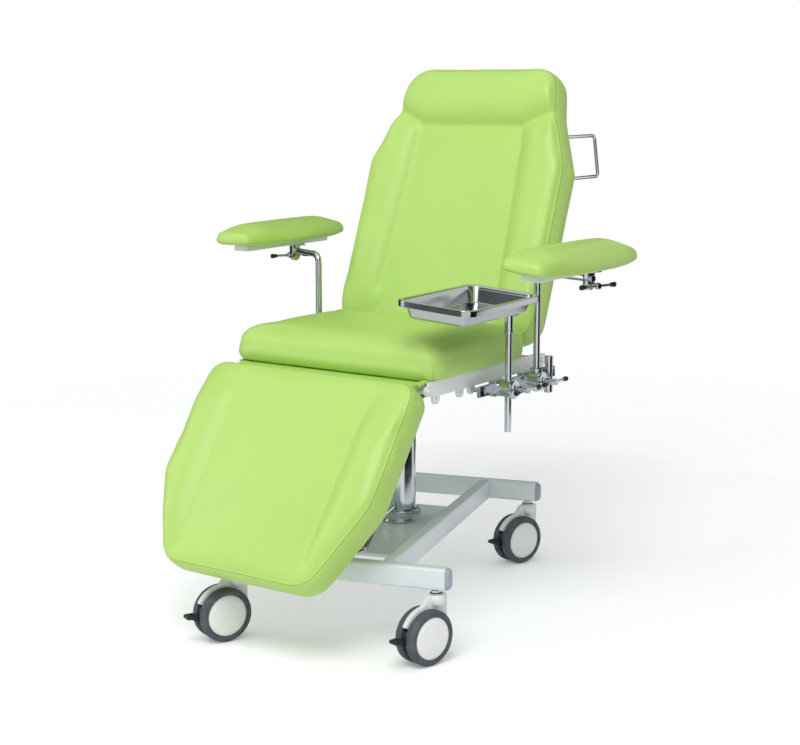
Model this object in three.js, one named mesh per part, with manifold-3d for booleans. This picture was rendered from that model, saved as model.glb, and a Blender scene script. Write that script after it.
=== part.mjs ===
// Patient recliner for drawing blood: a cushioned seat, back and leg rest on a hydraulic column and an
// H-shaped base with four twin-wheel casters, two swinging armrests and a steel tray on a side rail.
//
// Millimetres, +Z up. The patient faces -Y, so +X is the patient's left. While it is being built, the
// column's axis stands at x = 0, y = 0 and the casters on z = 0; the last lines move the whole chair so
// that the middle of its outline lies on the Z axis.

import * as THREE from 'three';
import { mergeVertices } from 'three/addons/utils/BufferGeometryUtils.js';
import Module from 'manifold-3d';

const wasm = await Module();
wasm.setup();

// Clearances and limits that serve the whole part
const SEAT_GAP = 0.3;
const RUNNING_GAP = 0.5;
const CUT_OVERRUN = 2;
const WELD_BITE = 1;
const ROUND_FACETS = 14;
const FINE_FACETS = 20;
const SMALL_FACETS = 8;
const BEND_STEPS = 3;
const CORNER_STEPS = 3;
const STATION_STEPS = { seat: 10, back: 13, leg: 10, pad: 6 };

// Base: two cross bars on casters, two side bars and the plate that carries the column
const BASE = {
  track: 480,
  wheelbase: 815,
  barBottom: 161,
  barHeight: 50,
  barDepth: 30,
  barCorner: 8,
  stemToEnd: 24,
  sideBarOffset: 125,
  sideBarWidth: 30,
  plateFront: 259,
  plateRear: 202,
  plateThickness: 8,
  plateDrop: 29,
  capBulge: 12,
  capInsetShare: 0.8,
  capRim: 2,
  stemHeightShare: 0.4,
  yawDegrees: 16,
  columnSetback: 46,
};

// Hydraulic column and its pump pedal
const COLUMN = {
  sleeveRadius: 43,
  footRadius: 46,
  footHeight: 26,
  sleeveTop: 432,
  boreRadius: 31,
  boreFloor: 24,
  ramRadius: 30,
  ramDepth: 290,
  relief: 3,
};
const PEDAL = {
  height: 25,
  trunnionRadius: 7,
  trunnionReach: 16,
  yokeGap: 4,
  yokeWidth: 8,
  yokeHeight: 14,
  eyeRadius: 12,
  rodRadius: 6,
  stemReach: 160,
  stemDrift: 14,
  padReach: 372,
  padDrift: 56,
  rise: 12,
  bendRadius: 26,
  footBar: 96,
};

// Casters
const CASTER = {
  wheelRadius: 62.5,
  wheelWidth: 23,
  tyreDepth: 12,
  discDish: 2.5,
  wheelGap: 15,
  axleRadius: 6,
  trail: 35,
  stemRadius: 6,
  nutRadius: 11,
  nutHeight: 7,
  headRadius: 22,
  headTop: 150,
  coverGap: 5,
  coverThickness: 9,
  webWidth: 12,
  hubRadius: 15,
  coverFromDegrees: 97,
  coverToDegrees: 152,
  coverInnerDegrees: 128,
  hubToDegrees: 330,
  neckCornerShare: 0.45,
  pedalReach: 34,
  pedalWidth: 27,
  pedalThickness: 8,
  pedalPivotRise: 8,
  pedalFromDegrees: 150,
  pedalRimDegrees: [158, 176],
  pedalFootDegrees: 205,
  swivelDegrees: [39, 30, 34, 46],
};

// Seat, its frame and its cushion
const SEAT = {
  halfWidth: 294,
  front: -285,
  rear: 140,
  bottom: 598,
  edgeHeight: 76,
  crown: 14,
  edgeRadius: 30,
  cornerRadius: 46,
  rearLean: 26,
  sideTuck: 5,
  panelShare: 0.6,
};
const FRAME = {
  sideInset: 22,
  plateThickness: 6,
  bottom: 562,
  plateFront: -262,
  rearEnd: 246,
  lugRadius: 14,
  lugDrop: 4,
  lugY: [-248, -148],
  lugBore: 5,
  railX: 104,
  railWidth: 30,
  railHeight: 28,
  crossWidth: 24,
  crossHeight: 22,
  headHalf: 104,
  headThickness: 10,
  headBossRadius: 46,
  headBossHeight: 44,
  frontCrossY: -236,
  rearCrossY: 118,
};

// Back rest: hinge place, lean and cushion
const BACK = {
  hingeY: 226,
  hingeZ: 580,
  leanDegrees: 21.5,
  surfaceOffset: 112,
  start: 14,
  length: 711,
  shoulderFromTop: 262,
  creaseFromTop: 121,
  sideInset: 4,
  neckInset: 55,
  topInset: 79,
  topCorner: 52,
  footCorner: 24,
  thickness: 82,
  edgeRadius: 27,
  panelHalfWidth: 178,
  panelNeckHalfWidth: 150,
  panelLimitShare: 0.86,
  channelSharpness: 12,
  creaseWidthShare: 0.8,
  bolsterSkewShare: 0.8,
  footFade: 90,
  sideTuck: 8,
  crown: 6,
  bolsterRise: 16,
  channelDepth: 8,
  headRise: 16,
  frameTube: 22,
  frameDepth: 14,
  frameX: 150,
  frameStart: 4,
  frameFromTop: 121,
  lowCrossAt: 70,
  crossOverrun: 2,
  hingeRadius: 7,
  eyeRadius: 13,
  lugDown: 76,
  lugBehind: 36,
};

// Leg rest: hinge place, slope and cushion
const LEG = {
  hingeY: -279,
  hingeZ: 577,
  slopeDegrees: 54,
  surfaceOffset: 80,
  start: 30,
  length: 492,
  straightTo: 285,
  sideInset: 1,
  toeInset: 87,
  toeCorner: 70,
  kneeCorner: 18,
  thickness: 78,
  edgeRadius: 28,
  panelHalfWidth: 188,
  panelToeHalfWidth: 168,
  panelLimitShare: 0.86,
  channelSharpness: 12,
  bolsterSkewShare: 0.8,
  sideTuck: 8,
  crown: 5,
  bolsterRise: 15,
  channelDepth: 7,
  frameX: 120,
  frameTube: 22,
  frameDepth: 14,
  frameStart: 6,
  frameEnd: 380,
  crossAt: 130,
  hingeRadius: 7,
  eyeRadius: 12,
  lugAlong: 130,
  lugBehind: 50,
};

// Gas springs under the seat
const SPRING = {
  tubeRadius: 11,
  rodRadius: 4,
  eyeRadius: 9,
  eyeThickness: 8,
  neck: 5,
  sideX: 78,
  anchorDrop: 26,
  backAnchorY: -178,
  legAnchorY: 110,
  backTube: 245,
  legTube: 270,
  boreFloor: 16,
  rodInTube: [36, 130],
  pinRadius: 4,
  earThickness: 6,
  lugThickness: 6,
  lugWidth: 11,
};

// Accessory rails and the clamps that slide on them
const RAIL = {
  outboard: 14,
  height: 26,
  thickness: 9,
  centreZ: 555,
  front: -124,
  rear: 226,
  corner: 2,
  standoffRadius: 5.5,
  standoffY: [-100, 196],
};
const CLAMP = {
  jawWall: 6,
  jawHalf: 22,
  lip: 5,
  lipThickness: 5,
  drumRadius: 20,
  drumReach: 41,
  ringRadius: 23,
  ringLength: 7,
  postOut: 30,
  postRadius: 8,
  sleeveWall: 4,
  sleeveRise: 9,
  collarWall: 4,
  collarHeight: 5,
  screwOffset: 32,
  screwRadius: 5,
  bossRadius: 11,
  bossReach: 48,
  screwIn: 16,
  nutRadius: 8,
  nutLength: 12,
  handleReach: 64,
  handleHalf: 44,
  handleRadius: 3.4,
  tipRadius: 5.6,
  tipLength: 13,
  tipTaperShare: 0.78,
  armY: [122, 88],
  trayY: -42,
};

// Armrests
const ARM = {
  bendRadius: 22,
  tubeZ: 814,
  tail: 6,
  reach: [128, 166],
  overreach: 15,
  swingDegrees: [23, -16],
  padLength: 456,
  padWidth: 146,
  padEdge: 38,
  padCrown: 12,
  padEdgeRadius: 22,
  padTaperShare: 0.26,
  padCorner: 34,
  padOffset: [44, 45],
  padYawDegrees: [2, 8],
  padTuck: 12,
  railLength: 372,
  railWidth: 42,
  railHeight: 14,
  railWall: 3,
  bracketLength: 26,
  bracketHalf: 14,
  bracketBelow: 15,
  plateThickness: 4,
  plateHalf: 24,
  swivelRadius: 7,
  swivelDepth: 3,
  handleDrop: 16,
};

// Tray and its post
const TRAY = {
  length: 366,
  width: 206,
  depth: 42,
  wall: 2.5,
  corner: 30,
  draft: 13,
  rimWidth: 8,
  rimHeight: 12,
  rimZ: 779,
  centreIn: 5,
  centreY: -160,
  yawDegrees: 3,
  tiltDegrees: 4.5,
  postTail: 82,
  flangeRadius: 24,
  flangeThickness: 5,
  socketRadius: 13,
  socketLength: 22,
  collarRadius: 14,
};

// Pole socket, push loops, release lever and the vinyl strip over the leg rest's hinge
const SOCKET = { y: 162, out: 22, outerRadius: 10, boreRadius: 7, bottom: 514, top: 603, floor: 6, jawHalf: 12 };
const LOOP = {
  radius: 4.5,
  inset: 64,
  footFromTop: 137,
  footSpacing: 114,
  reachLow: 200,
  reachHigh: 138,
  bendRadius: 14,
  footRadius: 11,
  footThickness: 4,
};
const LEVER = {
  inset: 36,
  y: 40,
  drop: 12,
  mount: 12,
  armRadius: 4,
  armReach: 50,
  gripRadius: 6.5,
  gripLength: 78,
  bendRadius: 12,
};
const FLAP = { halfWidth: 238, thickness: 2, rear: -262, front: -296, beadRadius: 2.5, curlLength: 14, curlRadius: 4 };

// Finishes, one material for each piece
const FINISH = {
  vinyl: { color: 0xb4d972, roughness: 0.42, metalness: 0 },
  paint: { color: 0xc4cac9, roughness: 0.38, metalness: 0.1 },
  chrome: { color: 0xc8ccd0, roughness: 0.1, metalness: 1 },
  steel: { color: 0xa9adad, roughness: 0.28, metalness: 1 },
  cap: { color: 0x9aa1aa, roughness: 0.5, metalness: 0 },
  hood: { color: 0xd2d2cc, roughness: 0.45, metalness: 0 },
  tyre: { color: 0x4a4f58, roughness: 0.6, metalness: 0 },
  black: { color: 0x1c2022, roughness: 0.5, metalness: 0 },
};

// Places that follow from the sizes above
const sideX = SEAT.halfWidth - FRAME.sideInset;
const railX = SEAT.halfWidth + RAIL.outboard;
const postX = railX + CLAMP.postOut;
const drumEnd = railX + CLAMP.drumReach;
const bossEnd = railX + CLAMP.bossReach;
const handleX = railX + CLAMP.handleReach;
const socketX = railX + SOCKET.out;
const trayX = railX - TRAY.centreIn;
const leverX = LEVER.inset - sideX;
const backHalfWidth = SEAT.halfWidth - BACK.sideInset;
const neckHalfWidth = backHalfWidth - BACK.neckInset;
const topHalfWidth = backHalfWidth - BACK.topInset;
const loopX = backHalfWidth - LOOP.inset;
const backCrossHalf = loopX + BACK.crossOverrun;
const shoulderAt = BACK.length - BACK.shoulderFromTop;
const creaseAt = BACK.length - BACK.creaseFromTop;
const backFrameEnd = BACK.length - BACK.frameFromTop;
const footHigh = BACK.length - LOOP.footFromTop;
const footLow = footHigh - LOOP.footSpacing;
const legHalfWidth = SEAT.halfWidth - LEG.sideInset;
const toeHalfWidth = legHalfWidth - LEG.toeInset;

const chair = new THREE.Group();

// Geometry helpers

function radians(degrees) {
  return THREE.MathUtils.degToRad(degrees);
}

function solidOf(geometry) {
  const bare = geometry.index ? geometry.toNonIndexed() : geometry.clone();
  bare.deleteAttribute('normal');
  bare.deleteAttribute('uv');
  const welded = mergeVertices(bare);
  const corners = welded.index.array;
  const faces = [];
  for (let i = 0; i < corners.length; i += 3) {
    const [a, b, c] = [corners[i], corners[i + 1], corners[i + 2]];
    if (a !== b && b !== c && a !== c) faces.push(a, b, c);
  }
  const places = new Float32Array(welded.attributes.position.array);
  if (sixVolumes(places, faces) < 0) faces.reverse();
  return new wasm.Manifold(new wasm.Mesh({
    numProp: 3,
    vertProperties: places,
    triVerts: new Uint32Array(faces),
  }));
}

// Six times the volume that the triangles enclose, below zero where they face inwards
function sixVolumes(places, faces) {
  const [a, b, c] = [new THREE.Vector3(), new THREE.Vector3(), new THREE.Vector3()];
  let sum = 0;
  for (let i = 0; i < faces.length; i += 3) {
    a.fromArray(places, faces[i] * 3);
    b.fromArray(places, faces[i + 1] * 3);
    c.fromArray(places, faces[i + 2] * 3);
    sum += a.dot(b.cross(c));
  }
  return sum;
}

function geometryOf(solid) {
  const mesh = solid.getMesh();
  const geometry = new THREE.BufferGeometry();
  geometry.setAttribute('position', new THREE.BufferAttribute(new Float32Array(mesh.vertProperties), 3));
  geometry.setIndex(new THREE.BufferAttribute(new Uint32Array(mesh.triVerts), 1));
  return geometry;
}

function moved(geometry, x, y, z, turnX = 0, turnY = 0, turnZ = 0) {
  const turn = new THREE.Quaternion().setFromEuler(new THREE.Euler(turnX, turnY, turnZ, 'ZYX'));
  const place = new THREE.Matrix4().compose(new THREE.Vector3(x, y, z), turn, new THREE.Vector3(1, 1, 1));
  return geometry.clone().applyMatrix4(place);
}

function joined(...geometries) {
  return geometries.map(solidOf).reduce((sum, solid) => sum.add(solid));
}

function cut(solid, ...geometries) {
  return geometries.map(solidOf).reduce((rest, tool) => rest.subtract(tool), solid);
}

function roundedRect(width, height, radius) {
  const shape = new THREE.Shape();
  const [w, h] = [width / 2, height / 2];
  const r = Math.min(radius, w, h);
  shape.moveTo(-w + r, -h);
  shape.lineTo(w - r, -h);
  shape.absarc(w - r, -h + r, r, -Math.PI / 2, 0, false);
  shape.lineTo(w, h - r);
  shape.absarc(w - r, h - r, r, 0, Math.PI / 2, false);
  shape.lineTo(-w + r, h);
  shape.absarc(-w + r, h - r, r, Math.PI / 2, Math.PI, false);
  shape.lineTo(-w, -h + r);
  shape.absarc(-w + r, -h + r, r, Math.PI, Math.PI * 1.5, false);
  return shape;
}

function extruded(shape, depth, facets = 4) {
  return new THREE.ExtrudeGeometry(shape, { depth, bevelEnabled: false, curveSegments: facets, steps: 1 });
}

function box(x0, x1, y0, y1, z0, z1) {
  const geometry = new THREE.BoxGeometry(x1 - x0, y1 - y0, z1 - z0);
  return moved(geometry, (x0 + x1) / 2, (y0 + y1) / 2, (z0 + z1) / 2);
}

// Cylinder from z0 to z1 on the Z axis at x, y
function drum(radius, x, y, z0, z1, facets = ROUND_FACETS) {
  const geometry = new THREE.CylinderGeometry(radius, radius, z1 - z0, facets);
  return moved(geometry, x, y, (z0 + z1) / 2, Math.PI / 2);
}

// Cylinder along X from x0 to x1
function drumX(radius, x0, x1, y, z, facets = ROUND_FACETS) {
  const geometry = new THREE.CylinderGeometry(radius, radius, x1 - x0, facets);
  return moved(geometry, (x0 + x1) / 2, y, z, 0, 0, Math.PI / 2);
}

// Cylinder along Y from y0 to y1
function drumY(radius, x, y0, y1, z, facets = ROUND_FACETS) {
  const geometry = new THREE.CylinderGeometry(radius, radius, y1 - y0, facets);
  return moved(geometry, x, (y0 + y1) / 2, z);
}

// Round bar along straight runs with round bends, as rings of points that turn with the route
function bentBar(radius, points, bendRadius, facets = SMALL_FACETS) {
  const corners = points.map((point) => new THREE.Vector3(...point));
  const route = [corners[0]];
  for (let i = 1; i < corners.length - 1; i += 1) {
    const towards = corners[i].clone().sub(corners[i - 1]).normalize();
    const away = corners[i + 1].clone().sub(corners[i]).normalize();
    const bend = new THREE.QuadraticBezierCurve3(
      corners[i].clone().addScaledVector(towards, -bendRadius),
      corners[i],
      corners[i].clone().addScaledVector(away, bendRadius),
    );
    route.push(...bend.getPoints(BEND_STEPS));
  }
  route.push(corners[corners.length - 1]);
  const heading = (i) => {
    const from = route[Math.max(i - 1, 0)];
    const to = route[Math.min(i + 1, route.length - 1)];
    return to.clone().sub(from).normalize();
  };
  let along = route[1].clone().sub(route[0]).normalize();
  const across = Math.abs(along.x) < 1 / 2 ? new THREE.Vector3(1, 0, 0) : new THREE.Vector3(0, 0, 1);
  let side = across.cross(along).normalize();
  const rings = route.map((place, i) => {
    const next = i === 0 || i === route.length - 1 ? along : heading(i);
    const end = i === route.length - 1 ? route[i].clone().sub(route[i - 1]).normalize() : next;
    side = side.clone().applyQuaternion(new THREE.Quaternion().setFromUnitVectors(along, end));
    along = end;
    const up = along.clone().cross(side);
    return Array.from({ length: facets }, (_, step) => {
      const angle = (step / facets) * Math.PI * 2;
      return place.clone()
        .addScaledVector(side, radius * Math.cos(angle))
        .addScaledVector(up, radius * Math.sin(angle))
        .toArray();
    });
  });
  return lofted(rings);
}

function lathe(profile, facets = ROUND_FACETS) {
  const points = profile.map(([r, z]) => new THREE.Vector2(r, z));
  return moved(new THREE.LatheGeometry(points, facets), 0, 0, 0, Math.PI / 2);
}

function addPiece(group, name, solid, finish) {
  const geometry = solid.isBufferGeometry ? geometryOf(solidOf(solid)) : geometryOf(solid);
  const mesh = new THREE.Mesh(geometry, new THREE.MeshStandardMaterial(FINISH[finish]));
  mesh.name = name;
  group.add(mesh);
  return mesh;
}

// Falls from one at share 0 to zero at share 1 and beyond, along a cosine
function fade(share) {
  return (1 + Math.cos(Math.PI * Math.min(Math.max(share, 0), 1))) / 2;
}

// Half width of an outline whose end corners are round
function withCorners(half, toEnd, corner) {
  const short = Math.max(corner - toEnd, 0);
  return half - corner + Math.sqrt(corner ** 2 - short ** 2);
}

// Shares of a panel's half width, and of the way from its edge to the rounded side, where the face has points
const CHANNELLED_SHARES = [[0, 0.4, 0.8, 0.95], [0, 0.07, 0.3, 0.6, 1]];
const PLAIN_SHARES = [[0, 0.5, 1], [0.5, 1]];
const SIDE_STEPS = 4;
const END_SHARES = [0, 0.08, 0.3, 0.62, 1];
const SIDE_FALL_SHARE = 0.6;
const TUCK_HEIGHT_SHARE = 0.2;

// A cushion is lofted from closed rings across its length, which lies along local Y. Local Z is the face that
// carries the body. `half` gives the half width at a station, `panel` the half width of the flat middle, and
// `inner` and `outer` the face's height at a share of the panel and of the bolster beside it.
function cushion({ stations, half, panel, inner, outer, edgeRadius, tuck, shares }) {
  const length = stations[stations.length - 1];
  const rings = stations.map((y) => {
    const width = half(y);
    const short = Math.max(edgeRadius - Math.min(y, length - y), 0);
    const drop = edgeRadius - Math.sqrt(edgeRadius ** 2 - short ** 2);
    const shoulder = width - edgeRadius;
    const middle = panel(y, shoulder);
    const side = shares[0].map((share) => [share * middle, inner(share, y) - drop]);
    for (const share of shares[1]) {
      side.push([middle + share * (shoulder - middle), outer(share, y) - drop]);
    }
    const top = outer(1, y) - drop;
    const fall = Math.min(edgeRadius, top * SIDE_FALL_SHARE);
    for (let i = 1; i <= SIDE_STEPS; i += 1) {
      const angle = (i / SIDE_STEPS) * (Math.PI / 2);
      side.push([shoulder + edgeRadius * Math.sin(angle), top - fall * (1 - Math.cos(angle))]);
    }
    side.push([width - tuck / 2, top * TUCK_HEIGHT_SHARE]);
    side.push([width - tuck, 0]);
    const left = side.slice(1).map(([x, z]) => [-x, z]).reverse();
    return [...left, ...side].map(([x, z]) => [x, y, z]);
  });
  return lofted(rings);
}

// Closed solid through rings of as many points each, with flat ends
function lofted(rings) {
  const count = rings[0].length;
  const index = [];
  for (let j = 0; j < rings.length - 1; j += 1) {
    for (let i = 0; i < count; i += 1) {
      const next = (i + 1) % count;
      const [a, b] = [j * count + i, j * count + next];
      index.push(a, b, b + count, a, b + count, a + count);
    }
  }
  const last = (rings.length - 1) * count;
  for (let i = 1; i < count - 1; i += 1) {
    index.push(0, i + 1, i);
    index.push(last, last + i, last + i + 1);
  }
  const geometry = new THREE.BufferGeometry();
  geometry.setAttribute('position', new THREE.Float32BufferAttribute(rings.flat(2), 3));
  geometry.setIndex(index);
  return geometry;
}

// Stations along a cushion: close together over its rounded ends and evenly spaced between them
function stationsOf(length, edgeRadius, between) {
  const near = END_SHARES.map((share) => share * edgeRadius);
  const far = near.map((y) => length - y).reverse();
  const run = length - 2 * edgeRadius;
  const middle = [];
  for (let i = 1; i < between; i += 1) middle.push(edgeRadius + (i / between) * run);
  return [...near, ...middle, ...far];
}

// Base

const base = new THREE.Group();
base.rotation.z = radians(BASE.yawDegrees);
chair.add(base);

const baseTop = BASE.barBottom + BASE.barHeight;
const plateTop = baseTop - BASE.plateDrop;
const frontBarY = -BASE.columnSetback - BASE.wheelbase / 2;
const rearBarY = -BASE.columnSetback + BASE.wheelbase / 2;
const barHalfLength = BASE.track / 2 + BASE.stemToEnd;

function barAlongX(width, height, radius, x0, x1, y, z) {
  return moved(extruded(roundedRect(height, width, radius), x1 - x0), x0, y, z, 0, Math.PI / 2);
}

function barAlongY(width, height, radius, x, y0, y1, z) {
  return moved(extruded(roundedRect(width, height, radius), y1 - y0), x, y1, z, Math.PI / 2);
}

function crossBar(y) {
  const middle = BASE.barBottom + BASE.barHeight / 2;
  const bar = barAlongX(BASE.barDepth, BASE.barHeight, BASE.barCorner, -barHalfLength, barHalfLength, y, middle);
  const bores = [-1, 1].map((side) => drum(
    CASTER.stemRadius + RUNNING_GAP,
    side * (BASE.track / 2),
    y,
    BASE.barBottom - CUT_OVERRUN,
    BASE.barBottom + BASE.barHeight / 2,
  ));
  return cut(solidOf(bar), ...bores);
}

function sideBars() {
  const y0 = frontBarY + BASE.barDepth / 2 + SEAT_GAP;
  const y1 = rearBarY - BASE.barDepth / 2 - SEAT_GAP;
  const middle = BASE.barBottom + BASE.barHeight / 2;
  const bars = [-1, 1].map((side) => barAlongY(
    BASE.sideBarWidth,
    BASE.barHeight,
    BASE.barCorner / 2,
    side * BASE.sideBarOffset,
    y0,
    y1,
    middle,
  ));
  const reach = BASE.sideBarOffset - BASE.sideBarWidth / 2 + WELD_BITE;
  const plate = box(
    -reach,
    reach,
    -BASE.columnSetback - BASE.plateFront,
    -BASE.columnSetback + BASE.plateRear,
    plateTop - BASE.plateThickness,
    plateTop,
  );
  return joined(...bars, plate);
}

function endCap(side, y) {
  const inset = BASE.capBulge * BASE.capInsetShare;
  const rim = BASE.capRim;
  const shape = roundedRect(BASE.barHeight - 2 * inset, BASE.barDepth - 2 * inset, BASE.barCorner / 4);
  const dome = new THREE.ExtrudeGeometry(shape, {
    depth: rim,
    bevelEnabled: true,
    bevelThickness: BASE.capBulge - rim,
    bevelSize: inset,
    bevelSegments: 3,
    curveSegments: 2,
    steps: 1,
  });
  const whole = solidOf(moved(dome, 0, 0, -rim / 2));
  const half = whole.subtract(solidOf(box(
    -BASE.barHeight,
    BASE.barHeight,
    -BASE.barHeight,
    BASE.barHeight,
    -BASE.barHeight,
    0,
  )));
  const placed = moved(
    geometryOf(half),
    side * (barHalfLength + SEAT_GAP),
    y,
    BASE.barBottom + BASE.barHeight / 2,
    0,
    side * (Math.PI / 2),
  );
  return placed;
}

addPiece(base, 'front_cross_bar', crossBar(frontBarY), 'paint');
addPiece(base, 'rear_cross_bar', crossBar(rearBarY), 'paint');
addPiece(base, 'base_centre_frame', sideBars(), 'paint');
for (const [end, y] of [['front', frontBarY], ['rear', rearBarY]]) {
  addPiece(base, `end_cap_${end}_left`, endCap(1, y), 'cap');
  addPiece(base, `end_cap_${end}_right`, endCap(-1, y), 'cap');
}

// Column and pump pedal

const sleeveFoot = plateTop + SEAT_GAP;
const pedalZ = plateTop + PEDAL.height;
const headBottom = FRAME.bottom - FRAME.headThickness;
const ramTop = headBottom - SEAT_GAP;
const yokeInner = COLUMN.sleeveRadius + PEDAL.yokeGap;
const yokeOuter = yokeInner + PEDAL.yokeWidth;

function columnSleeve() {
  const body = lathe([
    [0, sleeveFoot],
    [COLUMN.footRadius, sleeveFoot],
    [COLUMN.footRadius, sleeveFoot + COLUMN.footHeight],
    [COLUMN.sleeveRadius, sleeveFoot + COLUMN.footHeight + COLUMN.relief],
    [COLUMN.sleeveRadius, COLUMN.sleeveTop - COLUMN.relief],
    [COLUMN.sleeveRadius - COLUMN.relief, COLUMN.sleeveTop],
    [COLUMN.boreRadius, COLUMN.sleeveTop],
    [COLUMN.boreRadius, sleeveFoot + COLUMN.boreFloor],
    [0, sleeveFoot + COLUMN.boreFloor],
  ], FINE_FACETS);
  const pins = [-1, 1].map((side) => {
    const reach = COLUMN.sleeveRadius + PEDAL.trunnionReach;
    const inner = COLUMN.sleeveRadius - CUT_OVERRUN;
    return drumX(PEDAL.trunnionRadius, Math.min(side * inner, side * reach), Math.max(side * inner, side * reach), 0, pedalZ);
  });
  return joined(body, ...pins);
}

function pumpPedal() {
  const band = new THREE.Shape();
  band.absarc(0, 0, yokeOuter, Math.PI, Math.PI * 2, false);
  band.lineTo(yokeInner, 0);
  band.absarc(0, 0, yokeInner, Math.PI * 2, Math.PI, true);
  band.closePath();
  const yoke = moved(extruded(band, PEDAL.yokeHeight, 10), 0, 0, pedalZ - PEDAL.yokeHeight / 2);
  const eyes = [-1, 1].map((side) => drumX(
    PEDAL.eyeRadius,
    side > 0 ? yokeInner : -yokeOuter,
    side > 0 ? yokeOuter : -yokeInner,
    0,
    pedalZ,
  ));
  const start = -(yokeInner + PEDAL.yokeWidth / 2);
  const rod = bentBar(PEDAL.rodRadius, [
    [0, start, pedalZ],
    [PEDAL.stemDrift, start - PEDAL.stemReach, pedalZ + PEDAL.rise / 4],
    [PEDAL.padDrift, start - PEDAL.padReach, pedalZ + PEDAL.rise],
    [PEDAL.padDrift - PEDAL.footBar, start - PEDAL.padReach, pedalZ + PEDAL.rise],
  ], PEDAL.bendRadius, SMALL_FACETS + 2);
  const grip = drumX(
    PEDAL.rodRadius + PEDAL.yokeGap,
    PEDAL.padDrift - PEDAL.footBar - PEDAL.yokeGap,
    PEDAL.padDrift - PEDAL.bendRadius,
    start - PEDAL.padReach,
    pedalZ + PEDAL.rise,
  );
  const bore = drumX(PEDAL.trunnionRadius + RUNNING_GAP, -2 * yokeOuter, 2 * yokeOuter, 0, pedalZ);
  return cut(joined(yoke, ...eyes, rod, grip), bore);
}

function columnRam() {
  const bottom = ramTop - COLUMN.ramDepth;
  return lathe([
    [0, bottom],
    [COLUMN.ramRadius - COLUMN.relief, bottom],
    [COLUMN.ramRadius, bottom + COLUMN.relief],
    [COLUMN.ramRadius, ramTop - COLUMN.relief],
    [COLUMN.ramRadius - COLUMN.relief, ramTop],
    [0, ramTop],
  ], FINE_FACETS);
}

addPiece(base, 'column_sleeve', columnSleeve(), 'chrome');
addPiece(base, 'pump_pedal', pumpPedal(), 'chrome');
addPiece(base, 'column_ram', columnRam(), 'chrome');

// Casters

const axleY = -CASTER.trail;
const axleZ = CASTER.wheelRadius;
const coverOuter = CASTER.wheelRadius + CASTER.coverGap;
const coverInner = CASTER.wheelRadius - CASTER.tyreDepth - CASTER.coverThickness - CASTER.coverGap;

// Extrudes a shape drawn in the Y, Z plane to both sides of x = 0
function acrossX(shape, width, facets = 8) {
  const geometry = moved(extruded(shape, width, facets), 0, 0, -width / 2);
  const turn = new THREE.Matrix4().makeBasis(
    new THREE.Vector3(0, 1, 0),
    new THREE.Vector3(0, 0, 1),
    new THREE.Vector3(1, 0, 0),
  );
  return geometry.applyMatrix4(turn);
}

function casterHood() {
  const shape = new THREE.Shape();
  const from = radians(CASTER.coverFromDegrees);
  const to = radians(CASTER.coverToDegrees);
  const inner = radians(CASTER.coverInnerDegrees);
  const headHalf = CASTER.headRadius;
  const top = CASTER.headTop;
  const soft = CASTER.headRadius * CASTER.neckCornerShare;
  shape.moveTo(headHalf, axleZ + CASTER.hubRadius);
  shape.lineTo(headHalf, top - soft);
  shape.absarc(headHalf - soft, top - soft, soft, 0, Math.PI / 2, false);
  shape.lineTo(-headHalf + soft, top);
  shape.absarc(-headHalf + soft, top - soft, soft, Math.PI / 2, Math.PI, false);
  shape.absarc(axleY, axleZ, coverOuter, from, to, false);
  shape.absarc(axleY, axleZ, coverInner + CASTER.coverGap, to, inner, true);
  shape.absarc(axleY, axleZ, CASTER.hubRadius, inner, radians(CASTER.hubToDegrees), false);
  shape.closePath();
  const body = acrossX(shape, CASTER.webWidth, 4);
  const stem = drum(CASTER.stemRadius, 0, 0, top - CUT_OVERRUN, BASE.barBottom + BASE.barHeight * BASE.stemHeightShare, SMALL_FACETS);
  const nut = new THREE.CylinderGeometry(CASTER.nutRadius, CASTER.nutRadius, CASTER.nutHeight, 6);
  const seatedNut = moved(nut, 0, 0, BASE.barBottom - SEAT_GAP - CASTER.nutHeight / 2, Math.PI / 2);
  const bore = drumX(
    CASTER.axleRadius + RUNNING_GAP,
    -CASTER.webWidth,
    CASTER.webWidth,
    axleY,
    axleZ,
    SMALL_FACETS,
  );
  return cut(joined(body, stem, seatedNut), bore);
}

function casterWheels() {
  const [radius, width, dish] = [CASTER.wheelRadius, CASTER.wheelWidth, CASTER.discDish];
  const rim = radius - CASTER.tyreDepth;
  const profile = [
    [0, 0],
    [radius, 0],
    [radius, width - CASTER.axleRadius],
    [radius - CASTER.axleRadius, width],
    [rim, width],
    [rim - dish, width + dish],
    [0, width + dish],
  ];
  const disc = lathe(profile, FINE_FACETS);
  const inner = CASTER.wheelGap / 2;
  const right = moved(disc, inner, axleY, axleZ, 0, Math.PI / 2);
  const left = moved(disc, -inner, axleY, axleZ, 0, -Math.PI / 2);
  const axle = drumX(CASTER.axleRadius, -inner - WELD_BITE, inner + WELD_BITE, axleY, axleZ, SMALL_FACETS);
  return joined(right, left, axle);
}

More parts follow.
